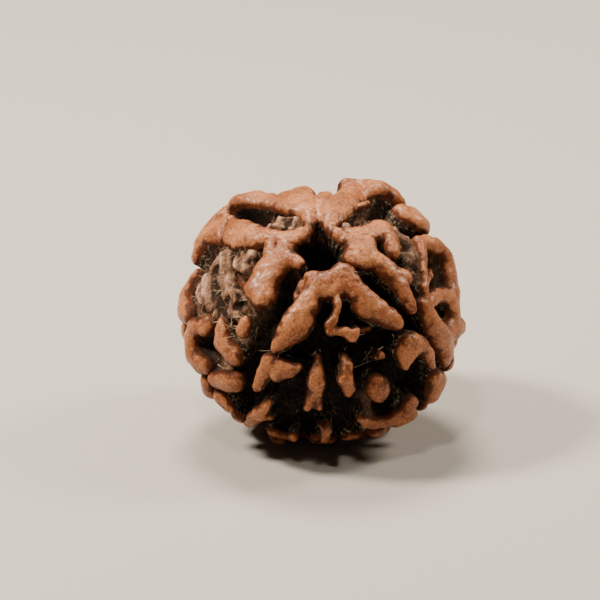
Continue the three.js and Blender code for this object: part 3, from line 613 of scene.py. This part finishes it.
def lattice_noise(points, size, seed):
    """Smooth noise between -1 and 1: chance values at the corners of cubes of that size, eased in between."""
    scaled = points / size + CELL_SHIFT
    cell = np.floor(scaled).astype(np.int64)
    share = scaled - cell
    ease = share * share * (3 - 2 * share)
    total = np.zeros(len(points))
    for corner in range(8):
        step = np.array([corner & 1, corner >> 1 & 1, corner >> 2 & 1])
        key = (cell + step) @ CELL_KEYS + seed * SEED_KEY
        key = (key ^ (key >> 13)) * SCRAMBLE_KEY & KEY_BITS
        value = ((key ^ (key >> 16)) & VALUE_BITS) / (VALUE_BITS / 2) - 1
        weight = np.where(step == 1, ease, 1 - ease).prod(axis=1)
        total += weight * value
    return total


def layers(points, waves):
    """Sum of lattice noises, each given as (height, size, seed), with height and size in mm."""
    return sum(height * lattice_noise(points, size, seed) for height, size, seed in waves)


def swell(at):
    """Slow swells of the whole stone, so that no part of it is a true spheroid."""
    across = np.sin(ACROSS_WAVES * at[:, 0] + ACROSS_START) * np.sin(SIDE_WAVES * at[:, 1] + SIDE_START)
    return ACROSS_SWELL * across + ALONG_SWELL * np.sin(ALONG_WAVES * at[:, 2] + ALONG_START)


def edge_slope(at, edge):
    """How the distance outside the ridges grows along the surface, as a vector, from two small steps."""
    east = unit(np.stack([-at[:, 1], at[:, 0], np.zeros(len(at))], axis=-1))
    north = np.cross(at, east)
    slope = np.zeros_like(at)
    for way in (east, north):
        ahead = ridge_edge(unit(at + way * SLOPE_STEP))[0]
        slope += way * ((ahead - edge) / (SLOPE_STEP * READ_RADIUS))[:, None]
    size = np.linalg.norm(slope, axis=1, keepdims=True)
    return slope / np.maximum(size, 1)


def section(edge, lift, half, depth):
    """The curve across a ridge, from the distance outside its edge.

    Over the shoulder, which is as wide as the ridge allows, the curve turns a quarter of an ellipse. Past the
    edge the wall drops by 1 - (1 - share)^WALL_EASE and leans in under the edge, and past WALL_SPAN the floor
    runs on. Gives the step outward along the surface and the height over the stone's nominal top.
    """
    shoulder = np.clip(half, LEAST_SHOULDER, MOST_SHOULDER)
    drop = shoulder * SHOULDER_FALL
    turn = np.clip(1 + edge / shoulder, 0, 1) * np.pi / 2
    over_step = np.where(edge > -shoulder, shoulder * (np.sin(turn) - 1) - edge, 0)
    over_height = lift - drop * (1 - np.cos(turn))
    down = np.clip(edge / WALL_SPAN, 0, 1)
    ease = 1 - (1 - down) ** WALL_EASE
    wall_step = -edge * WALL_SHIFT - UNDERCUT * np.sin(np.pi * down)
    wall_height = (lift - drop) * (1 - ease) - depth * ease
    floor_step = -WALL_SPAN * WALL_SHIFT * np.exp(-(edge - WALL_SPAN) / FLOOR_RETURN)
    step = np.where(edge <= 0, over_step, np.where(edge < WALL_SPAN, wall_step, floor_step))
    return step, np.where(edge <= 0, over_height, wall_height)


def outside_surface(azimuth, polar):
    """The outside of the stone as points in mm in its own axes.

    A point lies out from the centre by the swelling spheroid, the ridge's section and its own small relief:
    lumps and grain on a ridge, streaks on a floor, and pits in a pale floor. With each point come its
    distance outside the ridges, how deep it lies, which counts less from a raised ridge and more down its
    flanks and gives the colour its painted shade, how pale the floor is there, and the small relief.
    """
    at = directions(azimuth, polar)
    edge, lift, half = ridge_edge(at)
    slope = edge_slope(at, edge)
    edge = edge + layers(at * READ_RADIUS, EDGE_WAVES)
    depth = np.maximum(RECESS_DEPTH + near_places(at, FLOOR_CHANGES), LEAST_FLOOR)
    depth += layers(at * READ_RADIUS, DEPTH_WAVES)
    step, height = section(edge, lift, half, depth)
    across = at[:, 0] ** 2 + at[:, 1] ** 2
    top = 1 / np.sqrt(across / EQUATOR_RADIUS ** 2 + at[:, 2] ** 2 / POLE_RADIUS ** 2) + swell(at)
    moved = unit(at + slope * (step / READ_RADIUS)[:, None])
    place = moved * READ_RADIUS
    lumps = layers(place, RIDGE_LUMPS)
    floor = np.clip(edge / WALL_SPAN, 0, 1)
    streaks = layers(place * STREAK, FLOOR_STREAKS)
    pale = np.clip(near_places(at, PALE_PLACES), 0, 1) * np.clip(edge / PALE_EDGE, 0, 1)
    pits = PIT_DEPTH * np.clip(layers(place, PIT_WAVES) - PIT_START, 0, 1) * pale
    relief = lumps * (1 - floor) + streaks * floor - pits
    flank = np.clip(1 + edge / np.clip(half, LEAST_SHOULDER, MOST_SHOULDER), 0, 1)
    # The flanks' extra depth is painted shade: it browns them in the colour
    sink = lift / 2 - height + FLANK_SHADE * flank ** 2
    return moved * (top + height + relief)[:, None], edge, sink, pale, relief


def stone_grid():
    """All points of the stone in rows: over the outside from the near rim, then back through the canal.

    The outside rows run in polar angle from just inside the near rim to just inside the far one, a little
    closer together on the near side. The canal rows lead from each rim to the round bore, and their radius
    eases by a power of the share of the way.
    """
    azimuth = np.arange(COLUMNS) * 360 / COLUMNS
    start = rim_polar(azimuth) * RIM_START
    end = FAR_RIM_POLAR + RIM_END
    share = np.linspace(0, 1, OUTSIDE_ROWS)[:, None]
    polar = start + (end - start) * share ** ROW_EASE
    turns = np.broadcast_to(azimuth, polar.shape)
    points, _, sink, pale, relief = outside_surface(turns.ravel(), polar.ravel())
    outside = points.reshape(OUTSIDE_ROWS, COLUMNS, 3)
    near_rim = outside[0]
    far_rim = outside[-1]
    spoke = directions(azimuth, 90.0)
    rows = []
    half = CANAL_ROWS // 2
    for rim, height, side in ((far_rim, FAR_BORE, 1), (near_rim, NEAR_BORE, -1)):
        share = np.linspace(0, 1, half + 1)[1:, None, None]
        radius = np.linalg.norm(rim[:, :2], axis=1)[None, :, None]
        narrow = CANAL_RADIUS + (radius - CANAL_RADIUS) * (1 - share) ** CANAL_EASE
        level = rim[None, :, 2:3] + (height - rim[None, :, 2:3]) * share
        tube = spoke[None] * narrow
        tube[..., 2:3] = level
        rows.append(tube[::side])
    canal = np.concatenate(rows)
    rough = layers(canal.reshape(-1, 3), CANAL_LUMPS).reshape(canal.shape[:2])
    from_end = np.minimum(np.arange(len(canal)), np.arange(len(canal))[::-1])
    fade = from_end[:, None] / CANAL_FADE_ROWS
    canal[..., :2] += spoke[None, :, :2] * (rough * np.clip(fade, 0, 1))[..., None]
    grid = np.concatenate([outside, canal])
    # The canal counts as deep as a recess, so its walls take the recesses' near-black, partly painted shade
    deep = np.full(canal.shape[:2], RECESS_DEPTH)
    sinks = np.concatenate([sink.reshape(OUTSIDE_ROWS, COLUMNS), deep])
    plain = np.zeros(canal.shape[:2])
    pales = np.concatenate([pale.reshape(OUTSIDE_ROWS, COLUMNS), plain])
    reliefs = np.concatenate([relief.reshape(OUTSIDE_ROWS, COLUMNS), plain])
    return grid, sinks, pales, reliefs


def standing(points):
    """From the stone's own axes in mm to the upright frame in metres, trimmed at the level it rests on."""
    lean = math.radians(AXIS_LEAN)
    x, y, z = points[..., 0], points[..., 1], points[..., 2]
    turned = np.stack([
        CENTRE[0] + y,
        CENTRE[1] - x * math.cos(lean) - z * math.sin(lean),
        CENTRE[2] - x * math.sin(lean) + z * math.cos(lean),
    ], axis=-1)
    turned[..., 2] = np.maximum(turned[..., 2], 0)
    return turned * MM


def mesh_object(name, vertices, faces, material):
    """A smooth object at the origin, from arrays of vertices and of faces with equally many corners."""
    mesh = bpy.data.meshes.new(name)
    count, sides = faces.shape
    mesh.vertices.add(len(vertices))
    mesh.vertices.foreach_set("co", vertices.astype(np.float32).ravel())
    mesh.loops.add(count * sides)
    mesh.loops.foreach_set("vertex_index", faces.astype(np.int32).ravel())
    mesh.polygons.add(count)
    mesh.polygons.foreach_set("loop_start", np.arange(0, count * sides, sides, dtype=np.int32))
    mesh.polygons.foreach_set("use_smooth", np.ones(count, dtype=bool))
    mesh.update(calc_edges=True)
    mesh.validate()
    mesh.materials.append(material)
    piece = bpy.data.objects.new(name, mesh)
    bpy.context.collection.objects.link(piece)
    return piece


def point_values(piece, name, values):
    """Keeps one number for each vertex, for the material to read."""
    attribute = piece.data.attributes.new(name, "FLOAT", "POINT")
    attribute.data.foreach_set("value", values.astype(np.float32).ravel())


def closed_grid_faces(rows, columns):
    """Four-cornered faces of a grid that closes on itself both ways, as on a ring."""
    row, column = np.meshgrid(np.arange(rows), np.arange(columns), indexing="ij")
    after = (row + 1) % rows
    beside = (column + 1) % columns
    corners = [row * columns + column, after * columns + column,
               after * columns + beside, row * columns + beside]
    return np.stack([corner.ravel() for corner in corners], axis=-1)


def make_stone(material):
    """The stone as one closed skin, with the canal running through it."""
    grid, sinks, pales, reliefs = stone_grid()
    faces = closed_grid_faces(*grid.shape[:2])
    stone = mesh_object("stone_surface", standing(grid).reshape(-1, 3), faces, material)
    point_values(stone, "sink", sinks)
    point_values(stone, "relief", reliefs)
    point_values(stone, "pale", pales)
    return stone


STRAND_STRETCH = (1.0, 1.0, 0.25)


class Nodes:
    """Short calls for building a material's nodes."""

    def __init__(self, name):
        self.material = bpy.data.materials.new(name)
        self.material.use_nodes = True
        self.tree = self.material.node_tree
        self.shader = self.tree.nodes["Principled BSDF"]
        self.place = self.tree.nodes.new("ShaderNodeTexCoord").outputs["Object"]

    def add(self, kind, inputs, **settings):
        """A node of that kind, with its settings, and its inputs linked or set by name or number."""
        node = self.tree.nodes.new("ShaderNode" + kind)
        for key, value in settings.items():
            setattr(node, key, value)
        for key, value in inputs.items():
            if isinstance(value, bpy.types.NodeSocket):
                self.tree.links.new(value, node.inputs[key])
            else:
                node.inputs[key].default_value = value
        return node

    def noise(self, size, detail=4.0, rough=0.55):
        """Noise with features of that size in mm."""
        inputs = {"Vector": self.place, "Scale": 1 / (size * MM), "Detail": detail, "Roughness": rough}
        return self.add("TexNoise", inputs).outputs["Fac"]

    def streaks(self, size):
        """Noise drawn out along the height of the stone, in streaks of that width in mm."""
        stretched = self.add("Mapping", {"Vector": self.place, "Scale": STRAND_STRETCH}).outputs["Vector"]
        inputs = {"Vector": stretched, "Scale": 1 / (size * MM), "Detail": 5.0, "Roughness": 0.65}
        return self.add("TexNoise", inputs).outputs["Fac"]

    def value(self, name):
        """A number kept on the mesh's vertices."""
        return self.add("Attribute", {}, attribute_name=name).outputs["Fac"]

    def band(self, source, low, high, to_low=0.0, to_high=1.0):
        """Carries a value from one range to another, and stops at its ends."""
        inputs = {"Value": source, "From Min": low, "From Max": high, "To Min": to_low, "To Max": to_high}
        return self.add("MapRange", inputs, interpolation_type="SMOOTHSTEP").outputs["Result"]

    def mix(self, share, first, second):
        """Blends two colours."""
        return self.add("Mix", {0: share, 6: first, 7: second}, data_type="RGBA").outputs[2]

    def math(self, operation, first, second):
        """One step of arithmetic."""
        return self.add("Math", {0: first, 1: second}, operation=operation).outputs[0]

    def bump(self, height, distance, strength, under=None):
        """Fine relief of that height in mm."""
        inputs = {"Height": height, "Distance": distance * MM, "Strength": strength}
        if under is not None:
            inputs["Normal"] = under
        return self.add("Bump", inputs).outputs["Normal"]


def srgb(red, green, blue):
    """A colour from 0 to 255 as the eye sees it, as the linear numbers a shader takes."""
    values = [channel / 255 for channel in (red, green, blue)]
    linear = [v / 12.92 if v <= 0.04045 else ((v + 0.055) / 1.055) ** 2.4 for v in values]
    return (*linear, 1.0)


# Colours of the ridges, browned down their flanks by painted shade, of the recesses, near-black partly from
# residue and partly as painted shade, and of the pale, bark-like floors
TAN_DEEP = srgb(135, 78, 45)
TAN_LIGHT = srgb(174, 111, 70)
RUST = srgb(114, 54, 26)
GRAIN_DARK = srgb(88, 42, 16)
GRAIN_LIGHT = srgb(202, 145, 98)
FLANK_LIGHT = srgb(84, 38, 13)
FLANK_DARK = srgb(44, 20, 8)
# The recesses' near-black: partly dried residue, partly painted shade
SOOT_AND_SHADE_DARK = srgb(15, 10, 7)
SOOT_AND_SHADE_LIGHT = srgb(42, 28, 18)
DUST = srgb(166, 154, 128)
BARK = srgb(106, 76, 58)
BARK_LIGHT = srgb(186, 145, 119)
BARK_CRACK = srgb(52, 35, 25)
BARK_STRAND = srgb(210, 173, 147)
BARK_PIT = srgb(36, 24, 16)
BARK_STAIN = srgb(76, 50, 34)
BARK_ROUGHNESS = (0.9, 0.9, 0.9, 1)

# Gloss: wax on the crests, and the shine of the wood under it
WAX_ROUGHNESS = 0.26
WOOD_SHINE = 0.15

# Sizes of the patterns in the stone's colours, in mm
BROAD_SIZE = 3.2
BLOTCH_SIZE = 0.9
STAIN_SIZE = 0.8
FLOOR_STAIN_SIZE = 0.5
BUMP_SIZE = 0.4
SOOT_AND_SHADE_SIZE = 0.3
DUST_SIZE = 0.24
SAND_SIZE = 0.2
STRAND_SIZE = 0.16


def stone_material():
    """Waxy tan ridges, browner down their shoulders as painted shade, over dusty recesses that are dark
    partly from residue and partly as painted shade, and pale, fibrous floors.

    Each band says between which two values of a pattern, or which two depths in mm, a colour comes in.
    """
    n = Nodes("stone_shell")
    sink = n.value("sink")
    pale = n.value("pale")
    relief = n.value("relief")
    broad = n.noise(BROAD_SIZE, 3.0)
    blotch = n.noise(BLOTCH_SIZE, 5.0, 0.6)
    sand = n.noise(SAND_SIZE, 4.0, 0.75)
    tan = n.mix(n.band(broad, 0.36, 0.64), TAN_DEEP, TAN_LIGHT)
    tan = n.mix(n.band(blotch, 0.45, 0.72, 0.0, 0.7), tan, RUST)
    tan = n.mix(n.band(sand, 0.5, 0.64, 0.0, 0.45), tan, GRAIN_DARK)
    tan = n.mix(n.band(sand, 0.47, 0.34, 0.0, 0.5), tan, GRAIN_LIGHT)
    brown = n.mix(n.band(blotch, 0.35, 0.7), FLANK_LIGHT, FLANK_DARK)
    # Painted shade browns the ridges by their depth and down their flanks, mixed with random brown stains
    stain_and_shade = n.math("ADD", sink, n.band(n.noise(STAIN_SIZE, 2.5, 0.5), 0.4, 0.66, -0.1, 0.45))
    ridge = n.mix(n.band(stain_and_shade, 0.18, 0.82), tan, brown)
    dark = n.mix(n.band(n.noise(SOOT_AND_SHADE_SIZE, 4.0), 0.45, 0.75), SOOT_AND_SHADE_DARK, SOOT_AND_SHADE_LIGHT)
    specks = n.band(n.noise(DUST_SIZE, 3.0, 0.7), 0.5, 0.64, 0.0, 0.85)
    dusty = n.math("MULTIPLY", n.band(sink, 2.4, 1.3), specks)
    dark = n.mix(n.math("MULTIPLY", dusty, n.band(broad, 0.44, 0.56)), dark, DUST)
    strands = n.streaks(STRAND_SIZE)
    floor = n.mix(n.band(relief, -0.02, 0.18), BARK, BARK_LIGHT)
    floor = n.mix(n.band(strands, 0.44, 0.34, 0.0, 0.75), floor, BARK_CRACK)
    floor = n.mix(n.band(strands, 0.54, 0.66, 0.0, 0.6), floor, BARK_STRAND)
    floor = n.mix(n.band(relief, -0.02, -0.13), floor, BARK_PIT)
    floor = n.mix(n.band(n.noise(FLOOR_STAIN_SIZE, 3.0), 0.5, 0.7, 0.0, 0.6), floor, BARK_STAIN)
    # Deep places take the recess colour: partly residue, partly painted shade
    colour = n.mix(n.band(sink, 0.9, 1.3), ridge, dark)
    colour = n.mix(pale, colour, floor)
    n.tree.links.new(colour, n.shader.inputs["Base Color"])
    rough = n.math("ADD", n.band(sink, 0.3, 0.8, 0.33, 0.88), n.band(sand, 0.4, 0.7, -0.03, 0.16))
    n.tree.links.new(n.mix(pale, rough, BARK_ROUGHNESS), n.shader.inputs["Roughness"])
    wax = n.math("SUBTRACT", n.band(sink, 0.2, 0.5, 0.2, 0.0), pale)
    n.tree.links.new(n.math("MAXIMUM", wax, 0.0), n.shader.inputs["Coat Weight"])
    n.shader.inputs["Coat Roughness"].default_value = WAX_ROUGHNESS
    coarse = n.bump(n.noise(BUMP_SIZE, 5.0, 0.65), 0.09, 0.8)
    grained = n.bump(sand, 0.04, 0.7, coarse)
    on_floor = n.math("MULTIPLY", strands, n.band(sink, 0.8, 1.3))
    n.tree.links.new(n.bump(on_floor, 0.16, 0.9, grained), n.shader.inputs["Normal"])
    n.shader.inputs["Specular IOR Level"].default_value = WOOD_SHINE
    return n.material


FIBRE_TINT_SIZE = 1.2
FIBRE_ROUGHNESS = 0.75


def fibre_material(name, darker, lighter):
    """Dried flesh fibres, from a darker tint to a lighter one."""
    n = Nodes(name)
    tint = n.mix(n.band(n.noise(FIBRE_TINT_SIZE, 3.0), 0.35, 0.65), darker, lighter)
    n.tree.links.new(tint, n.shader.inputs["Base Color"])
    n.shader.inputs["Roughness"].default_value = FIBRE_ROUGHNESS
    return n.material


# Form of the fibres: their roots lie a little inside the stone
FIBRE_RINGS = 5
FIBRE_SIDES = 3
FIBRE_ROOT = 0.06
FIBRE_BEND = 0.4
FIBRE_TAPER = 0.6
FIBRE_SPREAD = 0.5
HIGHEST_FIBRE = 0.99

# Where each kind of fibre grows, by its distance in mm outside the ridges and by the floor's paleness
WISP_EDGE = 0.1
WISP_PALEST = 0.3
BRISTLE_EDGES = (0.02, 0.32)
MAT_EDGE = 0.2
MAT_SHARE = 0.5

# Where light dried bristles stand thickest: [azimuth, polar angle, reach, strength]
BRISTLE_PLACES = [
    [24, 52, 1.0, 0.9], [18, 61, 0.9, 0.9], [26, 61, 0.7, 0.7], [307, 55, 0.8, 0.9], [316, 57, 0.7, 0.8],
    [336, 57, 0.8, 0.8], [48, 20, 0.5, 0.9], [112, 10.5, 0.7, 0.8], [95, 11, 0.6, 0.5], [46, 54, 0.7, 0.8],
    [303, 76, 0.8, 0.4], [20, 81, 0.8, 0.4], [300, 46, 0.8, 0.6], [344, 53, 0.5, 0.4], [64, 30, 0.5, 0.5],
    [220, 23, 1.1, 0.9], [142, 20, 0.9, 0.8], [357, 52.5, 0.6, 0.9], [340, 54, 0.7, 0.8],
    [13.5, 52.5, 0.6, 0.8], [303, 51, 0.7, 0.8], [321, 54.5, 0.6, 0.7], [23, 45.5, 0.4, 0.9],
    [59.5, 19, 0.6, 1.0],
]


def make_fibres(name, count, seed, length, width, rise, chance, material):
    """Short tapered strands that grow from the recesses, each bending over as it rises.

    A strand's middle line starts at its root, leaves along a leaning direction and bends by the square of the
    share of its length. Its section is a small triangle, closed at the root, that shrinks to nothing at the
    tip. With little rise the strands lie along the stone's streaks. Length and width are ranges in mm, and
    chance gives the share of the count that grows at each place.
    """
    rng = np.random.default_rng(seed)
    azimuth = rng.uniform(0, 360, count)
    polar = np.degrees(np.arccos(rng.uniform(-HIGHEST_FIBRE, HIGHEST_FIBRE, count)))
    points, edge, _, pale, _ = outside_surface(azimuth, polar)
    at = directions(azimuth, polar)
    kept = rng.uniform(0, 1, count) < chance(at, edge, pale)
    points, at = points[kept], at[kept]
    many = len(points)
    reach = rng.uniform(*length, many)[:, None]
    along = np.array([1.0, 0.0, 0.0]) * rng.choice([-1.0, 1.0], many)[:, None] * (1 - rise)
    way = unit(at * rise + along + rng.normal(0, FIBRE_SPREAD, (many, 3)))
    bend = unit(rng.normal(0, 1, (many, 3)))
    share = np.linspace(0, 1, FIBRE_RINGS)[None, :, None]
    root = (points - FIBRE_ROOT * at)[:, None]
    line = root + (way[:, None] * share + FIBRE_BEND * bend[:, None] * share ** 2) * reach[:, None]
    side = unit(np.cross(way, bend))
    other = np.cross(way, side)
    turn = np.arange(FIBRE_SIDES) * 2 * np.pi / FIBRE_SIDES
    thick = rng.uniform(*width, many)[:, None, None] * (1 - share) ** FIBRE_TAPER / 2
    ring = (side[:, None, None] * np.cos(turn)[None, None, :, None]
            + other[:, None, None] * np.sin(turn)[None, None, :, None])
    strands = line[:, :, None] + ring * thick[..., None]
    row, column = np.meshgrid(np.arange(FIBRE_RINGS - 1), np.arange(FIBRE_SIDES), indexing="ij")
    beside = (column + 1) % FIBRE_SIDES
    corners = [row * FIBRE_SIDES + column, row * FIBRE_SIDES + beside,
               (row + 1) * FIBRE_SIDES + beside, (row + 1) * FIBRE_SIDES + column]
    quads = np.stack([corner.ravel() for corner in corners], axis=-1)
    below_tip = quads[:-FIBRE_SIDES]
    root_cap = [[2, 1, 0]]
    one = np.concatenate([quads[:, [0, 1, 2]], below_tip[:, [0, 2, 3]], root_cap])
    faces = one[None] + (np.arange(many) * FIBRE_RINGS * FIBRE_SIDES)[:, None, None]
    return mesh_object(name, standing(strands).reshape(-1, 3), faces.reshape(-1, 3), material)


def sparse_everywhere(at, edge, pale):
    """Evenly over the dark recesses."""
    return (edge > WISP_EDGE) & (pale < WISP_PALEST)


def thick_in_places(at, edge, pale):
    """Thickest at BRISTLE_PLACES, from the walls of the recesses."""
    least, most = BRISTLE_EDGES
    return np.where((edge > least) & (edge < most), near_places(at, BRISTLE_PLACES), 0)


def over_pale_floor(at, edge, pale):
    """Over the pale, matted floors."""
    return np.where(edge > MAT_EDGE, MAT_SHARE * pale, 0)


# Camera: long lens, as far off as the photograph's flat perspective asks
CAMERA_ELEVATION = 22
CAMERA_DISTANCE = 300
PIXELS_PER_MM = 12.9
IMAGE_SIZE = 600
SENSOR = 36
CLIP = (0.01, 10)
SEED_PIXEL = (322, 316.5)


def make_camera():
    """A camera aimed so that the stone's middle falls on SEED_PIXEL of the picture."""
    rise = math.radians(CAMERA_ELEVATION)
    back = Vector((0, -math.cos(rise), math.sin(rise)))
    up = Vector((0, math.sin(rise), math.cos(rise)))
    right = Vector((1, 0, 0))
    half = IMAGE_SIZE / 2
    aim = Vector(CENTRE) - right * ((SEED_PIXEL[0] - half) / PIXELS_PER_MM)
    aim += up * ((SEED_PIXEL[1] - half) / PIXELS_PER_MM)
    data = bpy.data.cameras.new("camera")
    data.sensor_width = SENSOR
    data.lens = SENSOR * PIXELS_PER_MM * CAMERA_DISTANCE / IMAGE_SIZE
    data.clip_start, data.clip_end = CLIP
    camera = bpy.data.objects.new("camera", data)
    camera.matrix_world = Matrix.Translation((aim + back * CAMERA_DISTANCE) * MM) @ Matrix((
        (right.x, up.x, back.x, 0), (right.y, up.y, back.y, 0), (right.z, up.z, back.z, 0), (0, 0, 0, 1)))
    bpy.context.collection.objects.link(camera)
    bpy.context.scene.camera = camera


def area_light(name, azimuth, elevation, distance, size, power, colour):
    """A soft round lamp that looks at the stone, with its distance and width in mm and its power in watts."""
    turn = math.radians(azimuth)
    rise = math.radians(elevation)
    way = Vector((-math.sin(turn) * math.cos(rise), -math.cos(turn) * math.cos(rise), math.sin(rise)))
    data = bpy.data.lights.new(name, "AREA")
    data.shape = "DISK"
    data.size = size * MM
    data.energy = power
    data.color = colour
    lamp = bpy.data.objects.new(name, data)
    lamp.location = (Vector(CENTRE) + way * distance) * MM
    lamp.rotation_euler = way.to_track_quat("Z", "Y").to_euler()
    bpy.context.collection.objects.link(lamp)


FLOOR_COLOUR = srgb(172, 168, 162)
FLOOR_ROUGHNESS = 0.8
FLOOR_REACH = 2.0
SURROUND_COLOUR = srgb(205, 208, 214)
SURROUND_STRENGTH = 0.022


def make_stage():
    """A plain pale floor and a soft, pale surround."""
    n = Nodes("floor_pale")
    n.shader.inputs["Base Color"].default_value = FLOOR_COLOUR
    n.shader.inputs["Roughness"].default_value = FLOOR_ROUGHNESS
    corners = np.array([[-1, -1, 0], [1, -1, 0], [1, 1, 0], [-1, 1, 0]]) * FLOOR_REACH
    floor = mesh_object("floor", corners, np.array([[0, 1, 2, 3]]), n.material)
    world = bpy.data.worlds.new("surround")
    world.use_nodes = True
    world.node_tree.nodes["Background"].inputs["Color"].default_value = SURROUND_COLOUR
    world.node_tree.nodes["Background"].inputs["Strength"].default_value = SURROUND_STRENGTH
    bpy.context.scene.world = world


# Lamps: name, azimuth with 0 in front and 90 at the left, elevation, distance, width, power and colour
LAMPS = [
    ("key", 92, 50, 260, 50, 1.35, (1.0, 0.88, 0.74)),
    ("top", 172, 62, 280, 90, 1.2, (1.0, 0.89, 0.76)),
    ("side", -108, 40, 260, 70, 0.62, (1.0, 0.88, 0.74)),
    ("glow", 4, 13, 300, 60, 0.03, (1.0, 0.7, 0.48)),
    ("fill", 20, 66, 320, 36, 0.36, (1.0, 0.9, 0.78)),
]


def make_lights():
    """A soft key at the left, one behind and above, a weaker one at the right and two faint in front."""
    for lamp in LAMPS:
        area_light(*lamp)


make_camera()
make_lights()
make_stage()

stone = make_stone(stone_material())
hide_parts("stone")
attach(stone, "root")

dusk = fibre_material("dark_fibre", srgb(54, 41, 31), srgb(122, 100, 78))
straw = fibre_material("dried_fibre", srgb(110, 80, 56), srgb(180, 146, 112))
bleached = fibre_material("bleached_fibre", srgb(140, 118, 92), srgb(212, 192, 162))

# Counts, seeds, lengths and widths in mm, and how upright the fibres stand
wisps = make_fibres("dark_wisps", 3600, 21, (0.3, 0.9), (0.03, 0.06), 0.9, sparse_everywhere, dusk)
bristles = make_fibres("bristles", 20000, 23, (0.6, 1.5), (0.05, 0.09), 1.1, thick_in_places, bleached)
mat = make_fibres("floor_fibres", 16000, 22, (0.4, 1.0), (0.03, 0.055), 0.12, over_pale_floor, straw)
for piece in (wisps, bristles, mat):
    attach(piece, "root")

bpy.context.view_layer.update()
